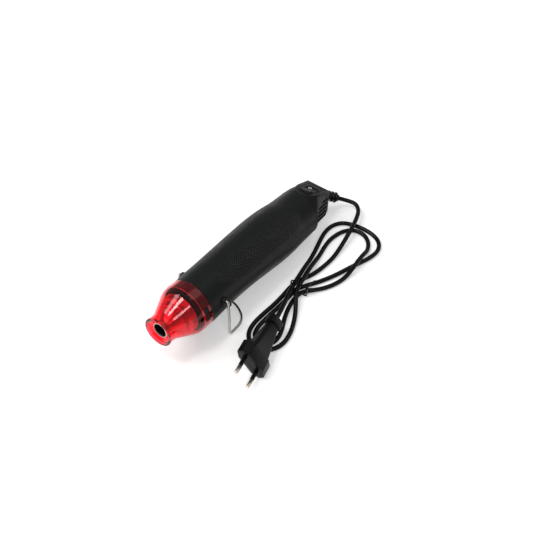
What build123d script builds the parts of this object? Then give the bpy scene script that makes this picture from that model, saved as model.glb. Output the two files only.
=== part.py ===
from build123d import *
from math import atan, cos, degrees, radians, sin, sqrt, tan
import os

# Embossing heat tool: a round black handle with a transparent red nozzle cover, a fold-out wire
# stand, a rocker switch on the sloping tail and a lead tied up in a loose hank.
# Millimetres, +Z up. +X runs from the nozzle towards the tail. z = 0 is the surface on which
# the tool lies: the foot of the stand and the lower rear edge of the handle touch it.

os.makedirs("parts", exist_ok=True)

# Driving sizes of the handle
tool_length = 244.0
tilt = 3.8
barrel_radius = 25.0
barrel_wall = 2.2
barrel_start = 52.0
barrel_end = 208.0
fit_clearance = 0.1
running_clearance = 0.06
soft_clearance = 0.3
overrun = 2.0

# The handle's swell at even steps along it: radius, and how far its centre lies above the axis
barrel_swell_shares = (
    (1.000, 0.000),
    (0.992, 0.048),
    (0.996, 0.080),
    (1.020, 0.088),
    (1.056, 0.064),
    (1.088, 0.028),
    (1.080, -0.016),
    (1.020, -0.056),
    (0.990, -0.060),
)

# Nozzle cover
cover_wall = 1.7
cover_face_thickness = 2.2
rim_radius = 14.8
rim_round = 1.1
neck_radius = 14.1
neck_place = 4.0
neck_end = 9.5
neck_bend = 6.0
flare_bend = 12.0
shoulder_bend = 18.0
ring_place = 32.1
ring_step = 0.4
ring_radius = barrel_radius + ring_step
outlet_radius = 7.0
window_length = 5.2
window_width = 14.0
window_place = 39.4
window_turn = 76.0

# Spigot at the front of the handle and its snap tabs
spigot_start = 36.5
spigot_wall = 2.0
spigot_root = 3.5
tab_rise = 0.8

# Air tube and heater
tube_wall = 0.6
tube_lip = 0.7
tube_cone_start = 9.0
tube_cone_end = 19.0
heater_bore = 12.4
tube_end = 49.0
flange_thickness = 1.0
mica_wall = 0.5
mica_plate = 0.8
mica_start = 22.0
mica_end = 64.0
core_gap = 1.6
coil_wire = 0.8
coil_pitch = 3.4
coil_turns = 9
carrier_start = 44.0
carrier_thickness = 5.0
carrier_collar = 2.0
cutout_length = 9.0
cutout_width = 7.0
cutout_height = 3.5

# Motor and fan
motor_radius = 12.2
motor_length = 28.0
motor_start = 114.0
mount_thickness = 5.0
mount_seat = 2.3
mount_rim = 2.4
mount_spokes = 4
spoke_width = 5.0
end_cap_length = 4.0
pillar_radius = 1.4
pillar_length = 4.0
shaft_radius = 1.15
shaft_front = 16.0
fan_radius = 19.2
fan_hub_radius = 5.2
fan_hub_length = 9.0
fan_blades = 7
fan_blade_thickness = 1.2
fan_blade_pitch = 38.0
fan_blade_chord = 9.0
fan_gap = 2.5
board_radius = 11.0
board_thickness = 1.6
diode_radius = 1.35
diode_length = 5.2
diode_pitch = 3.8
capacitor_radius = 3.6
capacitor_length = 9.0

# Tail with the switch panel and vents
tail_taper = 2.75
tail_wall = 2.2
tail_plug_depth = 4.5
tail_seam = 0.1
panel_front_height = 23.4
panel_rear_height = 11.6
tail_half_width = 13.6
tail_cheek_start = 12.5
tail_heel_length = 5.0
tail_heel_top = 14.0
tail_heel_bottom = 23.0
tail_edge_round = 1.2
vent_count = 5
vent_pitch = 5.2
vent_height = 2.6
vent_top = 3.9
vent_back = 2.8
vent_length = 15.0
vent_first_length = 9.5
tail_screw_turn = 38.0
tail_screw_place = 2.6
screw_head_radius = 2.5
screw_head_height = 1.6
screw_shank_radius = 1.3
screw_length = 5.6

# Rocker switch
switch_place = 19.5
bezel_length = 21.0
bezel_width = 15.0
bezel_thickness = 1.6
bezel_recess = 1.2
bezel_corner = 1.2
switch_body_length = 19.0
switch_body_width = 13.4
switch_body_depth = 9.6
rocker_radius = 8.3
rocker_width = 11.2
rocker_crown = 2.0
rocker_edge = 3.6
rocker_keel = 2.8
rocker_well = 5.2
rocker_drop = 2.6
rocker_tilt = 11.0
rocker_pin_radius = 1.0
rocker_pin_length = 0.7
terminal_length = 5.0
terminal_width = 4.8
terminal_thickness = 0.8
terminal_pitch = 10.0

# Wire stand
stand_wire_diameter = 2.5
stand_place = 62.0
stand_height = 6.4
stand_boss_radius = 3.4
stand_boss_proud = 1.4
stand_gap = 0.3
stand_side = 2.6
stand_splay = 2.0
stand_lean = 2.5
stand_top_half_width = barrel_radius + stand_boss_proud + stand_side
stand_foot_half_width = stand_top_half_width + stand_splay
stand_reach = 29.6
stand_turn_share = 0.62
stand_flat_share = 0.42
stand_bend = 2.4
stand_foot_bend = 3.0
stand_wire_end = 21.5
stop_lug_length = 2.2
stop_lug_height = 3.6
stop_lug_drop = 5.0

# Strain relief and lead
cord_diameter = 4.5
gland_drop = 4.0
gland_core_radius = 3.7
gland_rib_radius = 5.6
gland_rib_width = 1.6
gland_ribs = 6
gland_rib_pitch = 3.7
gland_rib_start = 3.0
gland_flange = 1.6
gland_straight = 6.8
gland_length = 19.0
gland_aim_shares = (0.60, -0.72, -0.345)
gland_bend = 12.0
lead_first_corner = 30.0
cable_inside = 12.0
clamp_place = 9.0
clamp_width = 15.0
clamp_length = 5.0
clamp_thickness = 2.4
clamp_screw_pitch = 10.4
clamp_lift_share = 0.55
post_radius = 2.3
wire_radius = 0.8
wire_spread = 1.2
wire_bend = 3.0

# Plug
plug_width = 35.3
plug_thickness = 13.7
plug_block = 15.0
plug_end_thickness = 6.0
plug_flat_width = 21.0
plug_neck_end = 47.0
plug_neck_width = 23.0
plug_neck_thickness = 12.2
plug_throat_width = 12.0
plug_throat_thickness = 9.0
plug_collar_end = 55.0
plug_collar_width = 14.6
plug_collar_thickness = 11.0
plug_round = 1.4
plug_turn = 13.3
plug_lean = 55.0
plug_place_shares = (-46.11, -16.53)
pin_radius = 2.0
pin_length = 19.0
pin_pitch = 18.6
pin_sleeve_length = 10.0
pin_core_radius = 1.4
pin_seat = 8.0

# Route of the lead past its first corner, in lead diameters: ahead of and beside the gland's
# seat in the tail (negative is towards the nozzle, negative is the near side) and above the
# surface. The lead goes out along the floor, through the tie, round under the plug, back through
# the tie to the inner loop, round under the plug again, and through the tie to the outer loop.
lead_route_shares = (
    (5.87, -7.00, 1.91), (4.29, -8.73, 1.84), (1.84, -9.69, 1.82), (-0.93, -10.44, 1.82),
    (-4.04, -11.07, 1.64), (-7.38, -11.51, 0.93), (-10.49, -11.76, 0.50), (-13.60, -11.60, 0.50),
    (-16.49, -11.20, 0.50), (-18.82, -10.42, 0.50), (-20.82, -9.64, 0.67), (-23.16, -9.42, 0.82),
    (-26.04, -9.53, 0.64), (-29.16, -9.49, 0.50), (-32.27, -9.22, 0.50), (-35.16, -9.11, 0.50),
    (-37.71, -9.51, 0.50), (-39.60, -10.78, 0.50), (-40.42, -12.78, 0.50), (-40.04, -15.00, 0.50),
    (-38.38, -16.67, 0.50), (-36.04, -17.24, 0.50), (-33.38, -16.80, 0.50), (-30.71, -15.76, 0.50),
    (-28.38, -14.51, 0.76), (-26.27, -13.07, 1.53), (-24.71, -11.84, 1.89), (-22.71, -11.20, 1.97),
    (-20.04, -10.73, 1.91), (-17.38, -10.11, 1.78), (-14.71, -9.53, 1.16), (-12.04, -9.02, 0.50),
    (-9.16, -8.36, 0.50), (-6.49, -8.00, 0.50), (-3.82, -8.31, 0.50), (-1.60, -9.24, 0.50),
    (-0.22, -11.00, 0.50), (-0.27, -13.33, 0.50), (-1.60, -15.33, 0.50), (-3.82, -16.58, 0.50),
    (-6.27, -16.93, 1.40), (-8.71, -17.22, 1.80), (-10.93, -17.33, 1.38), (-13.60, -17.20, 0.50),
    (-16.49, -16.53, 0.50), (-19.04, -15.27, 0.50), (-21.27, -13.47, 0.64), (-23.16, -12.09, 0.82),
    (-25.38, -11.96, 0.64), (-28.04, -12.42, 0.50), (-30.71, -13.38, 0.50), (-33.16, -14.64, 0.50),
    (-35.38, -15.47, 0.50), (-37.71, -15.40, 0.50), (-39.02, -13.38, 0.50), (-38.49, -11.33, 0.50),
    (-36.16, -10.42, 0.50), (-32.93, -10.44, 0.50), (-29.60, -10.64, 0.50), (-26.04, -10.76, 0.64),
    (-23.38, -10.67, 0.82), (-21.16, -11.56, 0.64), (-18.71, -13.02, 0.50), (-16.04, -14.38, 0.50),
    (-13.16, -15.53, 0.50), (-10.27, -16.44, 0.50), (-7.38, -17.60, 0.50), (-4.71, -18.44, 0.50),
    (-2.04, -18.44, 0.50), (0.02, -17.02, 0.50), (1.04, -14.67, 0.50), (1.20, -12.00, 0.50),
    (0.89, -9.33, 0.50), (-0.16, -7.00, 0.50), (-2.27, -5.78, 0.50), (-4.93, -5.69, 0.50),
    (-7.82, -6.36, 0.50), (-10.93, -7.31, 0.50), (-14.04, -8.04, 0.50), (-16.71, -8.64, 1.16),
    (-19.38, -9.42, 1.87), (-22.49, -10.00, 1.97), (-25.16, -10.76, 2.27), (-27.60, -11.64, 2.93),
    (-30.04, -12.58, 3.47),
)
lead_split = 8
lead_last_run = 11.0
corner_share = 0.45

# Tie round the hank, placed and sized in lead diameters like the route
tie_centre_shares = (-23.30, -10.76, 1.40)
tie_width_share = 3.96
tie_height_share = 2.36
tie_corner_share = 0.45
tie_thickness = 0.9
tie_width = 1.4
tie_tail_radius = 0.55
tie_tails = ((11.0, 14.0, 26.0), (8.0, 55.0, 6.0))

# Frame of the tool: s along its axis from the nozzle face, y across, u upwards from the axis
tool_axis = Vector(cos(radians(tilt)), 0, -sin(radians(tilt)))
tool_up = Vector(sin(radians(tilt)), 0, cos(radians(tilt)))
rear_drop = barrel_radius * (barrel_swell_shares[-1][0] - barrel_swell_shares[-1][1])
nose_height = rear_drop * tool_up.Z - barrel_end * tool_axis.Z
nose_x = -(tool_length * tool_axis.X + (panel_rear_height - rim_radius) * tool_up.X) / 2
nose = Vector(nose_x, 0, nose_height)
bore_axis = Axis(nose, tool_axis)


def place(s, y=0.0, u=0.0):
    """A point of the tool, given in its own frame."""
    return nose + tool_axis * s + Vector(0, y, 0) + tool_up * u


def across(s, y=0.0, u=0.0):
    """A plane square to the tool's axis, looking towards the tail."""
    return Plane(place(s, y, u), x_dir=(0, 1, 0), z_dir=tool_axis)


def lengthwise(s=0.0, y=0.0, u=0.0):
    """An upright plane along the tool's axis, seen from the near side."""
    return Plane(place(s, y, u), x_dir=tool_axis, z_dir=(0, -1, 0))


def level(s, y=0.0, u=0.0):
    """A plane along the tool's axis, seen from above."""
    return Plane(place(s, y, u), x_dir=tool_axis, z_dir=tool_up)


def turned(s, angle, radius, u=0.0):
    """A plane on the outside of the tool, its normal turned from the top towards the near side."""
    out = tool_up * cos(radians(angle)) - Vector(0, 1, 0) * sin(radians(angle))
    return Plane(place(s, u=u) + out * radius, x_dir=tool_axis, z_dir=out)


def keep(part, name):
    """Label a finished piece and write it."""
    part.label = name
    export_step(part, f"parts/{name}.step")


# Nozzle cover: flared shell with a flat face, a ring and two snap windows
cover_inner = ring_radius - cover_wall
neck_inner = neck_radius - cover_wall
outlet_seat = outlet_radius + tube_wall + fit_clearance
flare_slope = atan((ring_radius - neck_radius) / (ring_place - neck_end))
inner_shift = cover_wall * tan(flare_slope / 2)
with BuildPart() as nozzle_cover:
    with BuildSketch(lengthwise()):
        with BuildLine():
            Line((0, outlet_seat), (0, rim_radius - rim_round))
            RadiusArc((0, rim_radius - rim_round), (rim_round, rim_radius), rim_round)
            FilletPolyline(
                (rim_round, rim_radius),
                (neck_place, neck_radius),
                (neck_end, neck_radius),
                (ring_place, ring_radius),
                (barrel_start, ring_radius),
                radius=[neck_bend, flare_bend, shoulder_bend],
            )
            Line((barrel_start, ring_radius), (barrel_start, cover_inner))
            FilletPolyline(
                (barrel_start, cover_inner),
                (ring_place + inner_shift, cover_inner),
                (neck_end + inner_shift, neck_inner),
                (cover_face_thickness, neck_inner),
                radius=[shoulder_bend - cover_wall, flare_bend + cover_wall],
            )
            Polyline((cover_face_thickness, neck_inner), (cover_face_thickness, outlet_seat), (0, outlet_seat))
        make_face()
    revolve(axis=bore_axis)
    for turn in (window_turn, -window_turn):
        with BuildSketch(turned(window_place, turn, cover_inner - overrun)):
            RectangleRounded(window_length, window_width, cover_wall / 2)
        extrude(amount=cover_wall + 2 * overrun, mode=Mode.SUBTRACT)
keep(nozzle_cover.part, "nozzle_cover")

# Handle: swelling tube with a front spigot, snap tabs, motor seat and bosses of the stand
barrel_length = barrel_end - barrel_start
barrel_step = barrel_length / (len(barrel_swell_shares) - 1)
barrel_stations = [
    (barrel_start + index * barrel_step, swell * barrel_radius, lift * barrel_radius)
    for index, (swell, lift) in enumerate(barrel_swell_shares)
]
rear_radius = barrel_stations[-1][1]
rear_lower = -barrel_stations[-1][2]
spigot_radius = cover_inner - fit_clearance
spigot_bore = spigot_radius - spigot_wall
motor_seat_radius = barrel_radius - barrel_wall - mount_seat
stand_boss_reach = barrel_radius + stand_boss_proud
seat_lift = barrel_stations[3][2]
with BuildPart() as barrel_shell:
    for station, swell, lift in barrel_stations:
        with BuildSketch(across(station, u=lift)):
            Circle(swell)
    loft()
    for turn in (-1, 1):
        with BuildSketch(lengthwise(stand_place, u=stand_height)):
            Circle(stand_boss_radius)
        extrude(amount=turn * stand_boss_reach)
    lug_lean = (stop_lug_drop + stop_lug_height / 2) * tan(radians(tilt))
    lug_s = stand_place + stand_wire_diameter / 2 + stand_gap + lug_lean + stop_lug_length / 2
    with BuildSketch(lengthwise(lug_s, u=stand_height - stop_lug_drop)):
        RectangleRounded(stop_lug_length, stop_lug_height, stop_lug_length / 4)
    extrude(amount=stand_top_half_width + stand_wire_diameter / 4, both=True)
    for station, swell, lift in barrel_stations:
        with BuildSketch(across(station, u=lift)):
            Circle(swell - barrel_wall)
    loft(mode=Mode.SUBTRACT)
    with BuildSketch(across(spigot_start)):
        Circle(spigot_radius)
        Circle(spigot_bore, mode=Mode.SUBTRACT)
    extrude(amount=barrel_start + spigot_root - spigot_start)
    with BuildSketch(across(motor_start - mount_thickness)):
        with Locations((0, seat_lift)):
            Circle(barrel_radius - barrel_wall / 2)
        Circle(motor_seat_radius, mode=Mode.SUBTRACT)
    extrude(amount=mount_thickness)
    for turn in (window_turn, -window_turn):
        with BuildSketch(turned(window_place, turn, spigot_bore)):
            Rectangle(window_length - 2 * soft_clearance, window_width - 2 * soft_clearance)
        extrude(amount=spigot_wall + tab_rise)
    with BuildSketch(lengthwise(stand_place, u=stand_height)):
        Circle(stand_wire_diameter / 2 + running_clearance)
    extrude(amount=stand_boss_reach, both=True, mode=Mode.SUBTRACT)
    for turn in (180 - tail_screw_turn, 180 + tail_screw_turn):
        seat_radius = rear_radius - screw_head_height
        with BuildSketch(turned(barrel_end - tail_screw_place, turn, 0, -rear_lower)):
            Circle(screw_shank_radius + fit_clearance)
        extrude(amount=rear_radius + overrun, mode=Mode.SUBTRACT)
        with BuildSketch(turned(barrel_end - tail_screw_place, turn, seat_radius, -rear_lower)):
            Circle(screw_head_radius + fit_clearance)
        extrude(amount=overrun + screw_head_height, mode=Mode.SUBTRACT)
    with BuildSketch(across(barrel_end - tail_plug_depth - soft_clearance, u=-rear_lower)):
        Circle(rear_radius - barrel_wall)
    extrude(amount=tail_plug_depth + overrun, mode=Mode.SUBTRACT)
keep(barrel_shell.part, "barrel_shell")

# Air tube: narrow outlet, cone and heater jacket with the flange that the cover clamps
flange_radius = cover_inner - fit_clearance
with BuildPart() as air_tube:
    with BuildSketch(lengthwise()):
        with BuildLine():
            Polyline(
                (-tube_lip, outlet_radius),
                (-tube_lip, outlet_radius + tube_wall),
                (tube_cone_start, outlet_radius + tube_wall),
                (tube_cone_end, heater_bore + tube_wall),
                (spigot_start - flange_thickness, heater_bore + tube_wall),
                (spigot_start - flange_thickness, flange_radius),
                (spigot_start, flange_radius),
                (spigot_start, heater_bore + tube_wall),
                (tube_end, heater_bore + tube_wall),
                (tube_end, heater_bore),
                (tube_cone_end, heater_bore),
                (tube_cone_start, outlet_radius),
                (-tube_lip, outlet_radius),
            )
        make_face()
    revolve(axis=bore_axis)
keep(air_tube.part, "air_tube")

# Mica sleeve inside the air tube
sleeve_radius = heater_bore - fit_clearance
with BuildPart() as mica_sleeve:
    with BuildSketch(across(mica_start)):
        Circle(sleeve_radius)
        Circle(sleeve_radius - mica_wall, mode=Mode.SUBTRACT)
    extrude(amount=tube_end - mica_start)
keep(mica_sleeve.part, "mica_sleeve")

# Crossed mica plates that carry the heating wire, with a round end plate
core_half_width = sleeve_radius - mica_wall - core_gap
with BuildPart() as mica_core:
    with BuildSketch(across(mica_start + core_gap)):
        Rectangle(2 * core_half_width, mica_plate)
        Rectangle(mica_plate, 2 * core_half_width)
    extrude(amount=mica_end - mica_start - core_gap)
    with BuildSketch(across(mica_end)):
        Circle(core_half_width + core_gap)
        with PolarLocations(core_half_width * sqrt(2) / 2, 4, start_angle=45):
            Circle(core_half_width / 4, mode=Mode.SUBTRACT)
    extrude(amount=mica_plate)
keep(mica_core.part, "mica_core")

# Heating wire wound round the edges of the plates
coil_radius = core_half_width + coil_wire / 2 + running_clearance
coil_start = mica_start + core_gap + coil_pitch
with BuildPart() as heater_coil:
    with BuildLine():
        coil_path = Helix(
            coil_pitch, coil_pitch * coil_turns, coil_radius, center=place(coil_start), direction=tool_axis
        )
    with BuildSketch(Plane(coil_path @ 0, z_dir=coil_path % 0)):
        Circle(coil_wire / 2)
    sweep(path=coil_path)
keep(heater_coil.part, "heater_coil")

# Heater carrier: disc in the spigot with a collar round the air tube
with BuildPart() as heater_carrier:
    with BuildSketch(across(carrier_start)):
        Circle(spigot_bore - fit_clearance)
        Circle(heater_bore + tube_wall + fit_clearance, mode=Mode.SUBTRACT)
        with PolarLocations((spigot_bore + heater_bore + tube_wall) / 2, 6):
            Circle(carrier_collar / 2, mode=Mode.SUBTRACT)
    extrude(amount=carrier_thickness)
    with BuildSketch(across(carrier_start + carrier_thickness)):
        Circle(heater_bore + tube_wall + carrier_collar)
        Circle(heater_bore - mica_wall, mode=Mode.SUBTRACT)
    extrude(amount=carrier_collar)
keep(heater_carrier.part, "heater_carrier")

# Thermal cut-out on the back of the carrier
cutout_rise = heater_bore + tube_wall + carrier_collar + cutout_height / 2 + soft_clearance
with BuildPart() as thermal_cutout:
    with BuildSketch(across(carrier_start + carrier_thickness, u=cutout_rise)):
        RectangleRounded(cutout_width, cutout_height, cutout_height / 4)
    extrude(amount=cutout_length)
keep(thermal_cutout.part, "thermal_cutout")

# Motor mount: ring with spokes and a rim seated in the handle
with BuildPart() as motor_mount:
    with BuildSketch(across(motor_start - mount_thickness)):
        Circle(motor_seat_radius - fit_clearance)
        Circle(motor_seat_radius - fit_clearance - mount_rim, mode=Mode.SUBTRACT)
        for turn in range(mount_spokes):
            with Locations(Rotation(0, 0, turn * 360 / mount_spokes)):
                with Locations(((motor_seat_radius + motor_radius) / 2, 0)):
                    Rectangle(motor_seat_radius - motor_radius - mount_rim / 2, spoke_width)
        Circle(motor_radius + mount_rim)
        Circle(motor_radius + running_clearance, mode=Mode.SUBTRACT)
    extrude(amount=mount_thickness)
keep(motor_mount.part, "motor_mount")

# Motor can with its front bearing boss
bearing_radius = 3 * shaft_radius
with BuildPart() as motor_can:
    with BuildSketch(across(motor_start - mount_thickness)):
        Circle(motor_radius)
    extrude(amount=motor_length)
    with BuildSketch(across(motor_start - mount_thickness)):
        Circle(bearing_radius)
    extrude(amount=-shaft_radius)
    with BuildSketch(across(motor_start - mount_thickness - shaft_radius - overrun)):
        Circle(shaft_radius + running_clearance)
    extrude(amount=motor_length + shaft_radius + 2 * overrun, mode=Mode.SUBTRACT)
keep(motor_can.part, "motor_can")

# Motor end cap with two pillars for the board
motor_back = motor_start - mount_thickness + motor_length
with BuildPart() as motor_end_cap:
    with BuildSketch(across(motor_back)):
        Circle(motor_radius - mount_rim / 4)
        Circle(shaft_radius + running_clearance, mode=Mode.SUBTRACT)
    extrude(amount=end_cap_length)
    with BuildSketch(across(motor_back + end_cap_length)):
        with Locations((motor_radius - 3 * pillar_radius, 0), (3 * pillar_radius - motor_radius, 0)):
            Circle(pillar_radius)
    extrude(amount=pillar_length)
keep(motor_end_cap.part, "motor_end_cap")

# Motor shaft
with BuildPart() as motor_shaft:
    with BuildSketch(across(motor_start - mount_thickness - shaft_front)):
        Circle(shaft_radius)
    extrude(amount=shaft_front + motor_length + end_cap_length / 2)
keep(motor_shaft.part, "motor_shaft")

# Axial fan on the front of the shaft
fan_start = motor_start - mount_thickness - shaft_radius - fan_gap - fan_hub_length
with BuildPart() as fan_impeller:
    with BuildSketch(across(fan_start)):
        Circle(fan_hub_radius)
    extrude(amount=fan_hub_length)
    for blade in range(fan_blades):
        root = turned(fan_start + fan_hub_length / 2, blade * 360 / fan_blades, fan_hub_radius / 2)
        with BuildSketch(root):
            Rectangle(fan_blade_chord, fan_blade_thickness, rotation=fan_blade_pitch)
        extrude(amount=fan_radius - fan_hub_radius / 2)
    with BuildSketch(across(fan_start)):
        Circle(shaft_radius + fit_clearance / 2)
    extrude(amount=fan_hub_length, mode=Mode.SUBTRACT)
keep(fan_impeller.part, "fan_impeller")

# Rectifier board on the pillars of the end cap
board_start = motor_back + end_cap_length + pillar_length
with BuildPart() as rectifier_board:
    with BuildSketch(across(board_start)):
        Circle(board_radius)
    extrude(amount=board_thickness)
keep(rectifier_board.part, "rectifier_board")

# Four diodes lying over the board on their bent wires
diode_height = board_start + board_thickness + diode_radius + soft_clearance
diode_wire = diode_radius / 3
diode_half = diode_length / 2 + 3 * diode_wire
diode_side = board_radius / 2 - diode_wire
with BuildPart() as diodes:
    for row in range(4):
        level_u = (row - 3 / 2) * diode_pitch
        with BuildSketch(lengthwise(diode_height, diode_side + diode_length / 2, level_u)):
            Circle(diode_radius)
        extrude(amount=diode_length)
        with BuildSketch(lengthwise(diode_height, diode_side + diode_half, level_u)):
            Circle(diode_wire)
        extrude(amount=2 * diode_half)
        for end in (-1, 1):
            with BuildSketch(across(board_start + board_thickness, diode_side + end * diode_half, level_u)):
                Circle(diode_wire)
            extrude(amount=diode_radius + soft_clearance)
keep(diodes.part, "diodes")

# Capacitor standing on the board
with BuildPart() as capacitor:
    with BuildSketch(across(board_start + board_thickness, -board_radius / 2)):
        Circle(capacitor_radius)
    extrude(amount=capacitor_length)
    fillet(capacitor.edges(), diode_wire)
keep(capacitor.part, "capacitor")

# Panel of the switch: it slopes down along the top of the tail
panel_fall = (panel_front_height - panel_rear_height) / (tool_length - barrel_end)
panel_slope = degrees(atan(panel_fall))
panel_along = tool_axis * cos(radians(panel_slope)) - tool_up * sin(radians(panel_slope))
panel_out = tool_axis * sin(radians(panel_slope)) + tool_up * cos(radians(panel_slope))
panel_front = place(barrel_end, u=panel_front_height)


def panel(along, rise=0.0):
    """A plane on the switch panel, measured down its slope, raised above it."""
    return Plane(panel_front + panel_along * along + panel_out * rise, x_dir=panel_along, z_dir=panel_out)


def panel_side(along, rise=0.0, y=0.0):
    """An upright plane down the slope of the switch panel, seen from the near side."""
    centre = panel_front + panel_along * along + panel_out * rise + Vector(0, y, 0)
    return Plane(centre, x_dir=panel_along, z_dir=(0, -1, 0))


tail_front = barrel_end + tail_seam
cheek_fall = (rear_radius - tail_half_width) / (tail_cheek_start - tail_seam)


def tail_form(inset):
    """The tail's outside, or its hollow when it is set in by the wall."""
    start = tail_front + inset
    back = tool_length - inset
    drop = inset * sqrt(1 + panel_fall**2)
    reach = rear_radius + rear_lower + overrun
    top = panel_front_height - drop - panel_fall * (start - barrel_end)
    half = tail_half_width - inset
    flank = rear_radius - inset * sqrt(1 + cheek_fall**2)
    cheek = tail_front + (flank - half) / cheek_fall
    with BuildPart() as form:
        with BuildSketch(lengthwise(u=-rear_lower)):
            with BuildLine():
                Polyline(
                    (start, 0),
                    (start, rear_radius - inset),
                    (back, rear_radius - tail_taper - inset),
                    (back, 0),
                    close=True,
                )
            make_face()
        revolve(axis=Axis(place(0, u=-rear_lower), tool_axis))
        with BuildSketch(lengthwise()):
            with BuildLine():
                Polyline(
                    (start, -reach),
                    (start, top),
                    (back, top - panel_fall * (back - start)),
                    (back, inset - tail_heel_top),
                    (back - tail_heel_length, inset - tail_heel_bottom),
                    (back - tail_heel_length, -reach),
                    close=True,
                )
            make_face()
        extrude(amount=reach, both=True, mode=Mode.INTERSECT)
        with BuildSketch(level(0)):
            with BuildLine():
                Polyline(
                    (start, flank - cheek_fall * inset),
                    (cheek, half),
                    (back, half),
                    (back, -half),
                    (cheek, -half),
                    (start, cheek_fall * inset - flank),
                    close=True,
                )
            make_face()
        extrude(amount=reach, both=True, mode=Mode.INTERSECT)
    return form.part


# Tail shell: hollow end with the switch panel, vents, plug ring and posts of the cord clamp
plug_ring_radius = rear_radius - barrel_wall - fit_clearance
plug_ring_bore = plug_ring_radius - tail_wall
tail_outside = tail_form(0)
tail_hollow = tail_form(tail_wall)
clamp_s = tool_length - tail_wall - clamp_place
post_top = clamp_lift_share * cord_diameter / 2 - gland_drop
cord_radius = cord_diameter / 2
with BuildPart() as tail_shell:
    add(tail_outside)
    add(tail_hollow, mode=Mode.SUBTRACT)
    with BuildSketch(across(barrel_end - tail_plug_depth, u=-rear_lower)):
        Circle(plug_ring_radius)
    extrude(amount=tail_plug_depth + tail_seam + tail_wall)
    with BuildSketch(across(barrel_end - tail_plug_depth, u=-rear_lower)):
        Circle(plug_ring_bore)
    extrude(amount=tail_plug_depth + tail_seam + tail_wall, mode=Mode.SUBTRACT)
    for side in (-1, 1):
        with BuildSketch(level(clamp_s, side * clamp_screw_pitch / 2, post_top)):
            Circle(post_radius)
        extrude(amount=-(post_top + rear_radius - 9 / 8 * tail_wall))
    with BuildSketch(panel(switch_place)):
        RectangleRounded(bezel_length + 2 * fit_clearance, bezel_width + 2 * fit_clearance, bezel_corner)
    extrude(amount=-bezel_recess, mode=Mode.SUBTRACT)
    with BuildSketch(panel(switch_place)):
        Rectangle(switch_body_length + 2 * fit_clearance, switch_body_width + 2 * fit_clearance)
    extrude(amount=-2 * tail_wall, mode=Mode.SUBTRACT)
    for row in range(vent_count):
        slot = vent_first_length if row == 0 else vent_length
        slot_s = tool_length - vent_back - slot / 2
        for side in (-1, 1):
            cheek = -side * (tail_half_width + tail_wall)
            with BuildSketch(lengthwise(slot_s, cheek, vent_top - row * vent_pitch)):
                SlotOverall(slot, vent_height)
            extrude(amount=-side * 2.5 * tail_wall, mode=Mode.SUBTRACT)
    with BuildSketch(across(tool_length - 2 * tail_wall, u=-gland_drop)):
        Circle(gland_core_radius)
    extrude(amount=3 * tail_wall, mode=Mode.SUBTRACT)
    for side in (-1, 1):
        with BuildSketch(level(clamp_s, side * clamp_screw_pitch / 2, post_top)):
            Circle(screw_shank_radius)
        extrude(amount=-screw_length, mode=Mode.SUBTRACT)
    for turn in (180 - tail_screw_turn, 180 + tail_screw_turn):
        with BuildSketch(turned(barrel_end - tail_screw_place, turn, 0, -rear_lower)):
            Circle(screw_shank_radius)
        extrude(amount=rear_radius, mode=Mode.SUBTRACT)
keep(tail_shell.part, "tail_shell")

# Switch frame: bezel in the panel with the body and the rocker's well
with BuildPart() as switch_frame:
    with BuildSketch(panel(switch_place, -bezel_recess)):
        RectangleRounded(bezel_length, bezel_width, bezel_corner)
    extrude(amount=bezel_thickness)
    with BuildSketch(panel(switch_place, -bezel_recess)):
        Rectangle(switch_body_length, switch_body_width)
    extrude(amount=-switch_body_depth)
    with BuildSketch(panel(switch_place, bezel_thickness)):
        Rectangle(2 * (rocker_radius + soft_clearance), rocker_width + 2 * soft_clearance)
    extrude(amount=-(bezel_thickness + rocker_drop + rocker_well), mode=Mode.SUBTRACT)
    with BuildSketch(panel_side(switch_place, -rocker_drop)):
        Circle(rocker_pin_radius + running_clearance)
    extrude(
        amount=rocker_width / 2 + soft_clearance / 2 + rocker_pin_length, both=True, mode=Mode.SUBTRACT
    )
keep(switch_frame.part, "switch_frame")

# Rocker with two sloping faces and its pivot pins, resting with the rear end down
edge_run = sqrt(rocker_radius**2 - rocker_edge**2)
keel_run = sqrt(rocker_radius**2 - rocker_keel**2)
rocker_along = panel_along * cos(radians(rocker_tilt)) - panel_out * sin(radians(rocker_tilt))
rocker_plane = Plane(panel(switch_place, -rocker_drop).origin, x_dir=rocker_along, z_dir=(0, -1, 0))
with BuildPart() as switch_rocker:
    with BuildSketch(rocker_plane):
        with BuildLine():
            Line((-edge_run, rocker_edge), (0, rocker_crown))
            Line((0, rocker_crown), (edge_run, rocker_edge))
            ThreePointArc((edge_run, rocker_edge), (rocker_radius, 0), (keel_run, -rocker_keel))
            Line((keel_run, -rocker_keel), (-keel_run, -rocker_keel))
            ThreePointArc((-keel_run, -rocker_keel), (-rocker_radius, 0), (-edge_run, rocker_edge))
        make_face()
    extrude(amount=rocker_width / 2, both=True)
    with BuildSketch(rocker_plane):
        Circle(rocker_pin_radius)
    extrude(amount=rocker_width / 2 + rocker_pin_length, both=True)
keep(switch_rocker.part, "switch_rocker")

# Terminals under the switch
with BuildPart() as switch_terminals:
    with BuildSketch(panel(switch_place, -bezel_recess - switch_body_depth)):
        with Locations((-terminal_pitch / 2, 0), (terminal_pitch / 2, 0)):
            Rectangle(terminal_thickness, terminal_width)
    extrude(amount=-terminal_length)
keep(switch_terminals.part, "switch_terminals")

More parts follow.
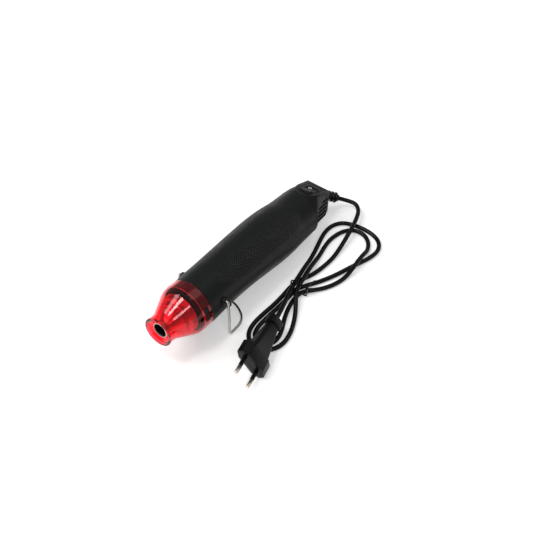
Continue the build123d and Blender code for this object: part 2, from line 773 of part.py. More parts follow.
# Screws of the housing, sunk into the handle's lower rear edge
with BuildPart() as housing_screws:
    for turn in (180 - tail_screw_turn, 180 + tail_screw_turn):
        seat = turned(barrel_end - tail_screw_place, turn, rear_radius - screw_head_height, -rear_lower)
        with BuildSketch(seat):
            Circle(screw_head_radius)
        extrude(amount=screw_head_height - fit_clearance)
        with BuildSketch(seat):
            Circle(screw_shank_radius)
        extrude(amount=-screw_length)
        with BuildSketch(seat.offset(screw_head_height)):
            Rectangle(screw_head_radius, screw_head_radius / 5)
            Rectangle(screw_head_radius / 5, screw_head_radius)
        extrude(amount=-screw_head_height / 2, mode=Mode.SUBTRACT)
keep(housing_screws.part, "housing_screws")

# Stand: one wire from boss to boss, down to the foot that lies in an arc on the floor
pivot = place(stand_place, u=stand_height)
foot_z = stand_wire_diameter / 2


def bends(points):
    """Radii for the corners of a route: each takes its share of the shorter run beside it."""
    radii = []
    for before, here, after in zip(points, points[1:], points[2:]):
        run_in = Vector(*here) - Vector(*before)
        run_out = Vector(*after) - Vector(*here)
        half_turn = radians(run_in.get_angle(run_out)) / 2
        radii.append(corner_share * min(run_in.length, run_out.length) / tan(half_turn))
    return radii


stand_half = [
    (pivot.X, stand_wire_end, pivot.Z),
    (pivot.X, stand_top_half_width, pivot.Z),
    (pivot.X - stand_lean, stand_foot_half_width, foot_z),
    (pivot.X + stand_turn_share * stand_reach, stand_foot_half_width, foot_z),
    (pivot.X + stand_reach, stand_flat_share * stand_foot_half_width, foot_z),
]
stand_route = [(x, -y, z) for x, y, z in stand_half] + stand_half[::-1]
stand_radii = bends(stand_route)
stand_radii[0] = stand_bend
stand_radii[1] = stand_foot_bend
stand_radii[-1] = stand_bend
stand_radii[-2] = stand_foot_bend
with BuildPart() as stand_wire:
    with BuildLine():
        stand_line = FilletPolyline(*stand_route, radius=stand_radii)
    with BuildSketch(Plane(stand_line @ 0, z_dir=stand_line % 0)):
        Circle(foot_z)
    sweep(path=stand_line)
keep(stand_wire.part, "stand_wire")

# Strain relief: ribbed sleeve out of the tail's rear face, bent to the near side and down
gland_seat = place(tool_length, u=-gland_drop)
gland_start = place(tool_length - tail_wall - gland_flange, u=-gland_drop)
gland_corner = place(tool_length + gland_straight, u=-gland_drop)
gland_aim = Vector(*gland_aim_shares).normalized()
gland_end = gland_corner + gland_aim * gland_length
with BuildPart() as cord_gland:
    with BuildLine():
        gland_line = FilletPolyline(gland_start, gland_corner, gland_end, radius=gland_bend)
    with BuildSketch(Plane(gland_start, z_dir=tool_axis)):
        Circle(gland_core_radius)
    sweep(path=gland_line)
    with BuildSketch(Plane(gland_start, z_dir=tool_axis)):
        Circle(gland_rib_radius)
    extrude(amount=gland_flange)
    for rib in range(gland_ribs):
        reach = tail_wall + gland_flange + gland_rib_start + rib * gland_rib_pitch
        ring_centre = gland_line.position_at(reach, PositionMode.LENGTH)
        ring_axis = gland_line.tangent_at(reach, PositionMode.LENGTH)
        with BuildSketch(Plane(ring_centre, z_dir=ring_axis)):
            Circle(gland_rib_radius)
        extrude(amount=gland_rib_width / 2, both=True)
keep(cord_gland.part, "cord_gland")

# Lead inside the tail, up to where its sheath is stripped
cable_end = tool_length - tail_wall - gland_flange - cable_inside
with BuildPart() as inner_cable:
    with BuildSketch(across(cable_end, u=-gland_drop)):
        Circle(cord_radius)
    extrude(amount=cable_inside)
keep(inner_cable.part, "inner_cable")

# Its two wires: one to the front terminal of the switch, one to the board
terminal_foot = panel(switch_place - terminal_pitch / 2, -bezel_recess - switch_body_depth - terminal_length)
foot_s = (terminal_foot.origin - nose).dot(tool_axis)
foot_u = (terminal_foot.origin - nose).dot(tool_up)
with BuildPart() as inner_wires:
    with BuildLine():
        wire_line = FilletPolyline(
            place(cable_end, wire_spread, -gland_drop),
            place(foot_s, wire_spread, -gland_drop),
            place(foot_s, wire_spread, foot_u - terminal_thickness / 2),
            radius=wire_bend,
        )
    with BuildSketch(Plane(wire_line @ 0, z_dir=wire_line % 0)):
        Circle(wire_radius)
    sweep(path=wire_line)
    with BuildSketch(across(board_start + board_thickness, -wire_spread, -gland_drop)):
        Circle(wire_radius)
    extrude(amount=cable_end - board_start - board_thickness)
keep(inner_wires.part, "inner_wires")

# Cord clamp: a bar across the posts, grooved for the lead
with BuildPart() as cord_clamp:
    with BuildSketch(level(clamp_s, u=post_top)):
        RectangleRounded(clamp_length, clamp_width, clamp_length / 3)
    extrude(amount=clamp_thickness)
    with BuildSketch(across(clamp_s - clamp_length, u=-gland_drop)):
        Circle(cord_radius)
    extrude(amount=2 * clamp_length, mode=Mode.SUBTRACT)
    for side in (-1, 1):
        with BuildSketch(level(clamp_s, side * clamp_screw_pitch / 2, post_top)):
            Circle(screw_shank_radius + fit_clearance)
        extrude(amount=clamp_thickness, mode=Mode.SUBTRACT)
keep(cord_clamp.part, "cord_clamp")

# Screws of the clamp
with BuildPart() as clamp_screws:
    for side in (-1, 1):
        top = level(clamp_s, side * clamp_screw_pitch / 2, post_top + clamp_thickness)
        with BuildSketch(top):
            Circle(screw_head_radius - fit_clearance)
        extrude(amount=screw_head_height)
        with BuildSketch(top):
            Circle(screw_shank_radius)
        extrude(amount=-screw_length)
        with BuildSketch(top.offset(screw_head_height)):
            Rectangle(screw_head_radius, screw_head_radius / 5)
            Rectangle(screw_head_radius / 5, screw_head_radius)
        extrude(amount=-screw_head_height / 2, mode=Mode.SUBTRACT)
keep(clamp_screws.part, "clamp_screws")

# Plug: it lies on the lower edge of its flat body, pins towards the nozzle side
plug_into = Vector(cos(radians(plug_turn)), sin(radians(plug_turn)), 0)
plug_wide = Vector(
    sin(radians(plug_turn)) * cos(radians(plug_lean)),
    -cos(radians(plug_turn)) * cos(radians(plug_lean)),
    -sin(radians(plug_lean)),
)
plug_centre = Vector(
    gland_seat.X + plug_place_shares[0] * cord_diameter,
    plug_place_shares[1] * cord_diameter,
    plug_width / 2 * sin(radians(plug_lean)) + plug_end_thickness / 2 * cos(radians(plug_lean)),
)


def plug(depth, side=0.0):
    """A plane across the plug, measured from the face with the pins into the body."""
    return Plane(plug_centre + plug_into * depth + plug_wide * side, x_dir=plug_wide, z_dir=plug_into)


with BuildPart() as plug_body:
    with BuildSketch(plug(0)):
        with BuildLine():
            Polyline(
                (plug_width / 2, -plug_end_thickness / 2),
                (plug_width / 2, plug_end_thickness / 2),
                (plug_flat_width / 2, plug_thickness / 2),
                (-plug_flat_width / 2, plug_thickness / 2),
                (-plug_width / 2, plug_end_thickness / 2),
                (-plug_width / 2, -plug_end_thickness / 2),
                (-plug_flat_width / 2, -plug_thickness / 2),
                (plug_flat_width / 2, -plug_thickness / 2),
                close=True,
            )
        make_face()
    extrude(amount=plug_block)
    chamfer(plug_body.faces().sort_by(Axis(plug_centre, plug_into))[-1].edges(), plug_round)
    with BuildSketch(plug(plug_block - plug_round)):
        RectangleRounded(plug_neck_width, plug_neck_thickness, 2 * plug_round)
    with BuildSketch(plug(plug_neck_end)):
        RectangleRounded(plug_throat_width, plug_throat_thickness, 2 * plug_round)
    loft()
    with BuildSketch(plug(plug_neck_end)):
        RectangleRounded(plug_collar_width, plug_collar_thickness, 2 * plug_round)
    extrude(amount=plug_collar_end - plug_neck_end)
    for side in (-1, 1):
        with BuildSketch(plug(0, side * pin_pitch / 2)):
            Circle(pin_core_radius)
        extrude(amount=pin_seat, mode=Mode.SUBTRACT)
keep(plug_body.part, "plug_body")

# Plug pins: thin core in the body and its sleeve, full-size tip
with BuildPart() as plug_pins:
    for side in (-1, 1):
        with BuildSketch(plug(-pin_sleeve_length, side * pin_pitch / 2)):
            Circle(pin_core_radius)
        extrude(amount=pin_sleeve_length + pin_seat)
        with BuildSketch(plug(-pin_length, side * pin_pitch / 2)):
            Circle(pin_radius)
        extrude(amount=pin_length - pin_sleeve_length)
        rims = plug_pins.edges().filter_by(GeomType.CIRCLE)
        fillet(rims.sort_by_distance(plug(-pin_length, side * pin_pitch / 2).origin)[0], pin_radius / 2)
keep(plug_pins.part, "plug_pins")

# Insulating sleeves of the pins
with BuildPart() as plug_pin_sleeves:
    for side in (-1, 1):
        with BuildSketch(plug(-pin_sleeve_length, side * pin_pitch / 2)):
            Circle(pin_radius)
            Circle(pin_core_radius, mode=Mode.SUBTRACT)
        extrude(amount=pin_sleeve_length)
keep(plug_pin_sleeves.part, "plug_pin_sleeves")

# Route of the lead from the gland to the plug, split where it enters the tied hank
lead_route = [gland_end, gland_corner + gland_aim * lead_first_corner]
for ahead, beside, above in lead_route_shares:
    lead_route.append(
        Vector(gland_seat.X + ahead * cord_diameter, beside * cord_diameter, above * cord_diameter)
    )
lead_route.append(plug_centre + plug_into * (plug_collar_end + lead_last_run))
lead_route.append(plug_centre + plug_into * plug_collar_end)
split_index = lead_split + 2
split_point = (lead_route[split_index - 1] + lead_route[split_index]) / 2


def lead(points):
    """The lead's tube along part of its route."""
    with BuildPart() as tube:
        with BuildLine():
            line = FilletPolyline(*points, radius=bends(points))
        with BuildSketch(Plane(line @ 0, z_dir=line % 0)):
            Circle(cord_radius)
        sweep(path=line)
    length = line.length
    share = tube.part.volume / (length * radians(180) * cord_radius**2)
    print("lead radii", [round(radius, 1) for radius in bends(points)])
    print("lead length", round(length, 1), "volume against section by length", round(share, 4))
    return tube.part, line


power_cord, free_line = lead(lead_route[:split_index] + [split_point])
keep(power_cord, "power_cord")
cord_hank, hank_line = lead([split_point] + lead_route[split_index:])
keep(cord_hank, "cord_hank")

# Least gap between stretches of the lead that are far apart along it
samples = []
travelled = 0.0
for line in (free_line, hank_line):
    steps = int(line.length / cord_radius)
    for step in range(steps):
        reach = step * line.length / steps
        samples.append((travelled + reach, line.position_at(reach, PositionMode.LENGTH)))
    travelled += line.length
least_gap = min(
    (here - there).length
    for index, (along, here) in enumerate(samples)
    for further, there in samples[index:]
    if further - along > 4 * cord_diameter
)
print("least gap of the lead to itself", round(least_gap - cord_diameter, 2))

# Twist tie round the strands, with its two free ends
tie_centre = Vector(
    gland_seat.X + tie_centre_shares[0] * cord_diameter,
    tie_centre_shares[1] * cord_diameter,
    tie_centre_shares[2] * cord_diameter,
)
tie_inner_width = tie_width_share * cord_diameter
tie_inner_height = tie_height_share * cord_diameter
tie_corner = tie_corner_share * cord_diameter
with BuildPart() as twist_tie:
    with BuildSketch(Plane(tie_centre, x_dir=(0, 1, 0), z_dir=(1, 0, 0))):
        RectangleRounded(
            tie_inner_width + 2 * tie_thickness,
            tie_inner_height + 2 * tie_thickness,
            tie_corner + tie_thickness,
        )
        RectangleRounded(tie_inner_width, tie_inner_height, tie_corner, mode=Mode.SUBTRACT)
    extrude(amount=tie_width / 2, both=True)
    knot = tie_centre + Vector(0, -tie_inner_width / 2, tie_inner_height / 2)
    for reach, aside, up in tie_tails:
        aim = Vector(
            cos(radians(up)) * cos(radians(aside)), -cos(radians(up)) * sin(radians(aside)), sin(radians(up))
        )
        with BuildSketch(Plane(knot, z_dir=aim)):
            Circle(tie_tail_radius)
        extrude(amount=reach)
keep(twist_tie.part, "twist_tie")
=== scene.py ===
"""Embossing heat tool: the visual model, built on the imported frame."""

import logging
import math
from dataclasses import dataclass
from enum import Enum

import bpy
from mathutils import Matrix, Vector


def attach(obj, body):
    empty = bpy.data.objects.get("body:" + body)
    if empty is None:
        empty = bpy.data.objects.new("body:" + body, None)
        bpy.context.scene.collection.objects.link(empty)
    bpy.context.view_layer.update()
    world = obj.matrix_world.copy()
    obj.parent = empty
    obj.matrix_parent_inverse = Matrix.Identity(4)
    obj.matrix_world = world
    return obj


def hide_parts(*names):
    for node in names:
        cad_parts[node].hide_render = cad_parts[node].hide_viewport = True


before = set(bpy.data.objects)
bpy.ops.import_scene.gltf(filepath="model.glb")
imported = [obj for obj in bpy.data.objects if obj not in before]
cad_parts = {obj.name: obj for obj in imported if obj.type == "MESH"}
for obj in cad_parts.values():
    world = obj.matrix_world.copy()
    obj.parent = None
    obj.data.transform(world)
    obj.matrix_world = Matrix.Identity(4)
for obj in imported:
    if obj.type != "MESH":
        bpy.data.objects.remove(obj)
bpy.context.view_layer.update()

logging.basicConfig(level=logging.INFO, format="%(message)s")
LOG = logging.getLogger("heat_tool")

MM = 0.001
# Distances in metres under which points are merged, in a new mesh and in a CAD copy
WELD = 0.00001
CAD_WELD = 0.000004

# Stations of an outline: place along the tool's axis, radius and, where given, lift, in mm
Outline = tuple[tuple[float, ...], ...]


class Body(Enum):
    """The rigid bodies that the new pieces move with."""

    HOUSING = "housing"
    ROCKER = "rocker"
    STAND = "stand"


class Slot(Enum):
    """The material slots, one listed with each ring below; no piece is given one."""

    RED_CLEAR = "red_clear"
    STEEL = "steel"
    INNER_PLASTIC = "inner_plastic"
    BLACK_SHELL = "black_shell"
    GLOSS_BLACK = "gloss_black"
    BRIGHT_STEEL = "bright_steel"
    SOFT_BLACK = "soft_black"
    NICKEL = "nickel"


@dataclass(frozen=True)
class ToolAxis:
    """Where the tool's own axis lies: s runs along it, y across, u upwards from it, in mm."""

    nose_x: float = -121.626
    nose_z: float = 39.977
    tilt: float = 3.8

    def matrix(self) -> Matrix:
        """The placing of the tool's own coordinates in the frame, in metres."""
        turn = Matrix.Rotation(math.radians(self.tilt), 4, "Y")
        return Matrix.Translation((self.nose_x * MM, 0.0, self.nose_z * MM)) @ turn

    def place(self, s: float, y: float = 0.0, u: float = 0.0) -> Vector:
        """A point of the tool, given in mm in its own coordinates, in the frame in metres."""
        return self.matrix() @ (Vector((s, y, u)) * MM)


AXIS = ToolAxis()


def linear(code: str) -> tuple[float, float, float, float]:
    """Turns an sRGB hex colour such as "#1b1d1c" to linear red, green, blue and full alpha."""
    parts = [int(code[i : i + 2], 16) / 255 for i in (1, 3, 5)]
    return (*[c / 12.92 if c <= 0.04045 else ((c + 0.055) / 1.055) ** 2.4 for c in parts], 1.0)


def put(
    tree: bpy.types.NodeTree,
    kind: str,
    settings: dict | None = None,
    values: dict | None = None,
    links: dict | None = None,
) -> bpy.types.Node:
    """Adds a node with its settings and links.

    Args:
        tree: the material's node tree.
        kind: the node's type name.
        settings: attributes of the node.
        values: input name or index to its value.
        links: input name or index to the socket that feeds it.

    Returns:
        The new node.
    """
    node = tree.nodes.new(kind)
    for key, value in (settings or {}).items():
        setattr(node, key, value)
    for key, value in (values or {}).items():
        node.inputs[key].default_value = value
    for key, socket in (links or {}).items():
        tree.links.new(socket, node.inputs[key])
    return node


@dataclass(frozen=True)
class Finish:
    """A surface: its colour, gloss and the grain of its making."""

    name: str
    colour: str
    roughness: float
    second_colour: str = ""
    metallic: float = 0.0
    specular: float = 0.5
    transmission: float = 0.0
    ior: float = 1.5
    grain_mm: float = 0.4
    grain_depth_mm: float = 0.01
    cloud_mm: float = 14.0
    rough_swing: float = 0.06
    stretch: tuple[float, float, float] = (1.0, 1.0, 1.0)

    def build(self) -> bpy.types.Material:
        """Makes the material, once.

        Returns:
            The material.
        """
        done = bpy.data.materials.get(self.name)
        if done:
            return done
        material = bpy.data.materials.new(self.name)
        material.use_nodes = True
        tree = material.node_tree
        tree.nodes.clear()
        place = put(tree, "ShaderNodeTexCoord").outputs["Object"]
        height, relief_shade = self.relief(tree, place)
        cloud = put(
            tree,
            "ShaderNodeTexNoise",
            values={"Scale": 1 / (self.cloud_mm * MM), "Detail": 3.0},
            links={"Vector": place},
        )
        # The relief's painted shade, where a finish has one, sets the mix of the two colours;
        # otherwise a random cloud does
        mix = put(
            tree,
            "ShaderNodeMix",
            {"data_type": "RGBA"},
            {6: linear(self.colour), 7: linear(self.second_colour or self.colour)},
            {0: relief_shade if relief_shade else cloud.outputs["Fac"]},
        )
        rough = put(
            tree,
            "ShaderNodeMapRange",
            values={
                "From Min": 0.3,
                "From Max": 0.7,
                "To Min": max(0.02, self.roughness - self.rough_swing),
                "To Max": self.roughness + self.rough_swing,
            },
            links={"Value": cloud.outputs["Fac"]},
        )
        bump = put(
            tree,
            "ShaderNodeBump",
            values={"Strength": 1.0, "Distance": MM},
            links={"Height": height},
        )
        shader = put(
            tree,
            "ShaderNodeBsdfPrincipled",
            values={
                "Metallic": self.metallic,
                "Specular IOR Level": self.specular,
                "Transmission Weight": self.transmission,
                "IOR": self.ior,
            },
            links={
                "Base Color": mix.outputs[2],
                "Roughness": rough.outputs[0],
                "Normal": bump.outputs[0],
            },
        )
        put(tree, "ShaderNodeOutputMaterial", links={"Surface": shader.outputs[0]})
        return material

    def relief(
        self, tree: bpy.types.NodeTree, place: bpy.types.NodeSocket
    ) -> tuple[bpy.types.NodeSocket, bpy.types.NodeSocket | None]:
        """The grain's height in millimetres.

        Args:
            tree: the material's node tree.
            place: the Object coordinates.

        Returns:
            The height socket, and a socket of painted shade that tints the colour, or None.
        """
        scaled = put(
            tree,
            "ShaderNodeVectorMath",
            {"operation": "MULTIPLY"},
            {1: self.stretch},
            {0: place},
        )
        grain = put(
            tree,
            "ShaderNodeTexNoise",
            values={"Scale": 1 / (self.grain_mm * MM), "Detail": 2.0},
            links={"Vector": scaled.outputs[0]},
        )
        height = put(
            tree,
            "ShaderNodeMath",
            {"operation": "MULTIPLY"},
            {1: self.grain_depth_mm},
            {0: grain.outputs["Fac"]},
        )
        return height.outputs[0], None


@dataclass(frozen=True)
class GripFinish(Finish):
    """Moulded ABS with a patch of small raised diamonds on each side of the handle, with painted
    shade between the diamonds and painted highlight on their tops.
    """

    pitch_mm: float = 2.9
    rise_mm: float = 0.5
    # The mean radius of the handle under the patch, and its centre's height above the axis
    radius_mm: float = 25.6
    lift_mm: float = 1.0
    # How the diamonds' edges and the patch's border fade, and the painted shade level of the plain
    # skin
    edge_fade: tuple[float, float] = (0.2, 0.85)
    border_fade_mm: tuple[float, float] = (-1.5, 2.5)
    plain_shade: float = 0.42
    # The patch's corners: place along the axis in mm, and degrees round it from the top
    corners: tuple[tuple[float, float], ...] = (
        (72.5, 13.4),
        (176.6, 19.0),
        (188.3, 37.4),
        (179.6, 66.0),
        (95.0, 66.5),
        (66.0, 41.0),
    )

    def relief(
        self, tree: bpy.types.NodeTree, place: bpy.types.NodeSocket
    ) -> tuple[bpy.types.NodeSocket, bpy.types.NodeSocket | None]:
        """The grain with the diamonds added, and the painted shade between them and painted
        highlight on their tops.

        Args:
            tree: the material's node tree.
            place: the Object coordinates.

        Returns:
            The height socket and the socket of painted shade and highlight.
        """
        grain, _ = super().relief(tree, place)

        def calc(
            operation: str,
            first: bpy.types.NodeSocket | float,
            second: bpy.types.NodeSocket | float = 0.0,
        ) -> bpy.types.NodeSocket:
            """One step of arithmetic.

            Args:
                operation: the Math node's operation.
                first: a socket or a number.
                second: a socket or a number.

            Returns:
                The result's socket.
            """
            node = put(tree, "ShaderNodeMath", {"operation": operation})
            for index, item in enumerate((first, second)):
                if isinstance(item, float):
                    node.inputs[index].default_value = item
                else:
                    tree.links.new(item, node.inputs[index])
            return node.outputs[0]

        turn = math.radians(-AXIS.tilt)
        shift = Matrix.Rotation(turn, 4, "Y") @ -Vector((AXIS.nose_x * MM, 0.0, AXIS.nose_z * MM))
        own = put(
            tree,
            "ShaderNodeMapping",
            values={"Location": shift, "Rotation": (0.0, turn, 0.0)},
            links={"Vector": place},
        )
        parts = put(tree, "ShaderNodeSeparateXYZ", links={0: own.outputs[0]})
        metres_along, across, above = parts.outputs
        along = calc("DIVIDE", metres_along, MM)
        centred = calc("SUBTRACT", above, self.lift_mm * MM)
        angle = calc("ARCTAN2", calc("ABSOLUTE", across), centred)
        arc = calc("MULTIPLY", angle, self.radius_mm)
        step = math.pi / self.pitch_mm
        first = calc("ABSOLUTE", calc("SINE", calc("MULTIPLY", calc("ADD", along, arc), step)))
        second = calc(
            "ABSOLUTE", calc("SINE", calc("MULTIPLY", calc("SUBTRACT", along, arc), step))
        )
        tops = put(
            tree,
            "ShaderNodeMapRange",
            {"interpolation_type": "SMOOTHSTEP"},
            {"From Min": self.edge_fade[0], "From Max": self.edge_fade[1]},
            {"Value": calc("MINIMUM", first, second)},
        ).outputs[0]
        patch = None
        for start, end in zip(self.corners, self.corners[1:] + self.corners[:1]):
            run = end[0] - start[0]
            climb = math.radians(end[1] - start[1]) * self.radius_mm
            length = math.hypot(run, climb)
            base = math.radians(start[1]) * self.radius_mm
            inside = calc(
                "SUBTRACT",
                calc("MULTIPLY", calc("SUBTRACT", arc, base), run / length),
                calc("MULTIPLY", calc("SUBTRACT", along, start[0]), climb / length),
            )
            fade = put(
                tree,
                "ShaderNodeMapRange",
                {"interpolation_type": "SMOOTHSTEP"},
                {"From Min": self.border_fade_mm[0], "From Max": self.border_fade_mm[1]},
                {"Value": inside},
            )
            patch = calc("MULTIPLY", patch, fade.outputs[0]) if patch else fade.outputs[0]
        diamonds = calc("MULTIPLY", calc("MULTIPLY", tops, patch), self.rise_mm)
        height = calc("ADD", grain, diamonds)
        # Painted shade between the diamonds and painted highlight on their tops, a mid shade on the
        # plain skin
        plain = self.plain_shade
        relief_shade = calc("ADD", calc("MULTIPLY", calc("SUBTRACT", tops, plain), patch), plain)
        return height, relief_shade


# Moulded ABS: fine spark-eroded matte, near black, with painted highlight on the tops of the
# diamonds and painted shade between them; the diamonds are drawn a little coarser than the real 2
# mm so that they show
SHELL = GripFinish(
    "moulded_abs_black", "#040504", 0.42, "#222524",
    grain_mm=0.45, grain_depth_mm=0.012, specular=0.17,
)
# The same moulding on the tail, with no diamonds
TAIL = Finish(
    "moulded_abs_tail", "#0d0e0d", 0.42, "#121413",
    grain_mm=0.45, grain_depth_mm=0.012, specular=0.15,
)
# Polished polycarbonate, tinted red: clear, with sharp highlights and a faint flow pattern
CLEAR_RED = Finish(
    "polycarbonate_clear_red", "#ff4c5e", 0.03, "#fb4558",
    transmission=1.0, ior=1.4, grain_mm=14.0, grain_depth_mm=0.01, rough_swing=0.01,
)
# Drawn steel tube: bright, with fine lines round it
STEEL = Finish(
    "drawn_steel", "#e6e4e1", 0.33, "#d8d5d1",
    metallic=1.0, grain_mm=0.8, grain_depth_mm=0.01, stretch=(6, 1, 1),
)
# Bright plated spring wire of the stand: a sharp sheen along the bends
WIRE = Finish(
    "plated_spring_wire", "#c4c2bd", 0.22, "#a9a7a1",
    metallic=1.0, grain_mm=0.7, grain_depth_mm=0.008,
)
# Nickel-plated turned pins: smooth, warm grey
NICKEL = Finish(
    "turned_nickel", "#efe9dc", 0.34, "#e2dbcd",
    metallic=1.0, grain_mm=0.6, grain_depth_mm=0.006,
)
# Polished ABS of the rocker and its frame: smoother than the housing, its sheen dim
GLOSS = Finish(
    "polished_abs_black", "#0a0a0b", 0.36, "#101111",
    grain_mm=1.2, grain_depth_mm=0.004, specular=0.2,
)
# Flexible PVC of the lead, the strain relief and the tie: black with a soft sheen
PVC = Finish(
    "extruded_pvc_black", "#040504", 0.3, "#080908",
    grain_mm=0.7, grain_depth_mm=0.008, specular=0.22,
)
# Moulded PVC of the plug and the pins' sleeves: a little duller than the lead
PLUG = Finish(
    "moulded_pvc_black", "#060706", 0.34, "#0a0b0a",
    grain_mm=0.5, grain_depth_mm=0.01, specular=0.18,
)
# Pad-printed ink of the rocker's marks: flat and pale
MARK = Finish("pad_printed_white", "#dcdedc", 0.5, "#cfd1cf", grain_mm=0.3, grain_depth_mm=0.004)
# Pressed mica sheet: pale brown, silky, with flakes
MICA = Finish(
    "pressed_mica", "#b5a27c", 0.35, "#8d7b58",
    grain_mm=2.2, grain_depth_mm=0.03, cloud_mm=3.0,
)
# Oxidised heating wire: dark grey with a satin lustre
HEATING = Finish("oxidised_nichrome", "#6d6863", 0.42, "#4d4844", metallic=1.0, grain_mm=0.3)
# Glass-filled nylon of the heat ring behind the cover: dull black
HEAT_RING = Finish(
    "glass_filled_black", "#0a0a0a", 0.6, "#101010",
    grain_mm=0.35, grain_depth_mm=0.02, specular=0.2,
)
# A dull black lining inside the front of the bore, a little rough, darker than the steel
BORE_LINING = Finish(
    "dark_bore_lining", "#050505", 0.7, "#0b0a0a",
    grain_mm=0.5, grain_depth_mm=0.03, specular=0.15,
)
# Painted light on the black spigot: a mid grey band with a red cast, standing in for light thrown
# back inside the clear ring, so that the ring shines dark red through the cover
PAINTED_RING_LIGHT = Finish(
    "painted_ring_light_grey", "#564e4d", 0.35, "#4a4342",
    grain_mm=1.5, grain_depth_mm=0.01,
)
# Glass-filled nylon of the inner mouldings: dull dark grey
INNER = Finish(
    "glass_filled_nylon", "#2a2b2c", 0.55, "#353637",
    grain_mm=0.35, grain_depth_mm=0.02,
)
# Moulded epoxy of the electrical components: smooth, near black
EPOXY = Finish("moulded_epoxy", "#1d1e22", 0.38, "#26272b", grain_mm=0.5)
# Paper laminate of the board: warm brown with a faint weave
LAMINATE = Finish(
    "paper_laminate", "#8a6a38", 0.5, "#74562b",
    grain_mm=0.6, grain_depth_mm=0.02, cloud_mm=5.0,
)
# Stamped brass of the terminals: warm and bright
BRASS = Finish("stamped_brass", "#c9a25a", 0.3, "#a98444", metallic=1.0, grain_mm=0.5)
# Coloured PVC sheath of the inner wires: smooth blue
SHEATH = Finish("wire_sheath_blue", "#2c4f86", 0.42, "#25447a", grain_mm=0.6)


def deselect() -> None:
    """Leaves edit mode and deselects everything."""
    if bpy.context.object and bpy.context.object.mode != "OBJECT":
        bpy.ops.object.mode_set(mode="OBJECT")
    bpy.ops.object.select_all(action="DESELECT")


def settle(
    piece: bpy.types.Object,
    body: Body,
    finish: Finish,
    nodes: tuple[str, ...] = (),
    smooth: float = 32.0,
) -> bpy.types.Object:
    """Dresses a finished piece and ties it to the frame.

    Args:
        piece: the finished object.
        body: the body that it moves with.
        finish: its surface.
        nodes: the CAD nodes that it stands for.
        smooth: the angle in degrees under which edges are shaded smooth.

    Returns:
        The piece.
    """
    if piece.type == "MESH":
        deselect()
        piece.select_set(True)
        bpy.context.view_layer.objects.active = piece
        bpy.ops.object.shade_smooth_by_angle(angle=math.radians(smooth))
    piece.data.materials.clear()
    piece.data.materials.append(finish.build())
    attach(piece, body.value)
    if nodes:
        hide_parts(*nodes)
    LOG.info("piece %s rides on %s", piece.name, body.value)
    return piece


def into_frame(piece: bpy.types.Object, placing: Matrix) -> None:
    """Moves a mesh by a placing, so that its object stays at the origin."""
    piece.data.transform(placing)
    piece.data.update()


def apply_modifiers(piece: bpy.types.Object) -> None:
    """Applies every modifier of a piece.

    Args:
        piece: the object.
    """
    deselect()
    piece.select_set(True)
    bpy.context.view_layer.objects.active = piece
    for modifier in list(piece.modifiers):
        bpy.ops.object.modifier_apply(modifier=modifier.name)


def cut(piece: bpy.types.Object, cutters: list[bpy.types.Object]) -> None:
    """Cuts other objects out of a piece and removes them.

    Args:
        piece: the object that is cut.
        cutters: the objects that are cut out of it.
    """
    for cutter in cutters:
        modifier = piece.modifiers.new("cut", "BOOLEAN")
        modifier.operation = "DIFFERENCE"
        modifier.solver = "EXACT"
        modifier.object = cutter
        apply_modifiers(piece)
        bpy.data.objects.remove(cutter)


def bevelled(
    piece: bpy.types.Object, width_mm: float, segments: int = 3, angle: float = 30.0
) -> None:
    """Rounds a piece's sharp edges.

    Args:
        piece: the object.
        width_mm: width of the round.
        segments: facets across it.
        angle: edges sharper than this, in degrees, are rounded.
    """
    modifier = piece.modifiers.new("round", "BEVEL")
    modifier.width = width_mm * MM
    modifier.segments = segments
    modifier.limit_method = "ANGLE"
    modifier.angle_limit = math.radians(angle)
    modifier.harden_normals = False
    apply_modifiers(piece)


def lathe(name: str, outline: Outline, segments: int = 128) -> bpy.types.Object:
    """Turns a closed outline about the tool's axis by extruding a ring from station to station.

    Args:
        name: name of the object.
        outline: its stations, the last of which joins the first.
        segments: facets round the axis.

    Returns:
        The object, placed in the frame.
    """
    stations = [(p[0], p[1], p[2] if len(p) > 2 else 0.0) for p in outline]
    stations.append(stations[0])
    deselect()
    s, radius, lift = stations[0]
    bpy.ops.mesh.primitive_circle_add(
        vertices=segments,
        radius=radius * MM,
        location=(s * MM, 0.0, lift * MM),
        rotation=(0.0, math.pi / 2, 0.0),
    )
    piece = bpy.context.object
    piece.name = name
    bpy.ops.object.transform_apply(location=True, rotation=True, scale=True)
    bpy.ops.object.mode_set(mode="EDIT")
    bpy.ops.mesh.select_all(action="SELECT")
    for before, here in zip(stations, stations[1:]):
        bpy.ops.mesh.extrude_edges_move(
            TRANSFORM_OT_translate={
                "value": ((here[0] - before[0]) * MM, 0.0, (here[2] - before[2]) * MM)
            }
        )
        change = here[1] / before[1]
        bpy.ops.transform.resize(
            value=(1.0, change, change), center_override=(here[0] * MM, 0.0, here[2] * MM)
        )
    bpy.ops.mesh.select_all(action="SELECT")
    bpy.ops.mesh.remove_doubles(threshold=WELD)
    bpy.ops.mesh.normals_make_consistent(inside=False)
    bpy.ops.object.mode_set(mode="OBJECT")
    into_frame(piece, AXIS.matrix())
    return piece


def rounded(
    points: list[tuple[float, float]], radii: list[float], steps: int = 8
) -> list[tuple[float, float]]:
    """An outline with arcs at its inner corners.

    Args:
        points: the outline's corners.
        radii: radius of each corner but the first and the last, in mm.
        steps: facets of each arc.

    Returns:
        The outline's points.
    """
    line = [points[0]]
    for before, here, after, radius in zip(points, points[1:], points[2:], radii):
        spot = Vector(here)
        back = (Vector(before) - spot).normalized()
        ahead = (Vector(after) - spot).normalized()
        half = back.angle(ahead) / 2
        centre = spot + (back + ahead).normalized() * radius / math.sin(half)
        first = spot + back * radius / math.tan(half) - centre
        last = spot + ahead * radius / math.tan(half) - centre
        sweep = first.angle_signed(last)
        for k in range(steps + 1):
            turn = Matrix.Rotation(-sweep * k / steps, 2)
            line.append(tuple(centre + turn @ first))
    line.append(points[-1])
    return line


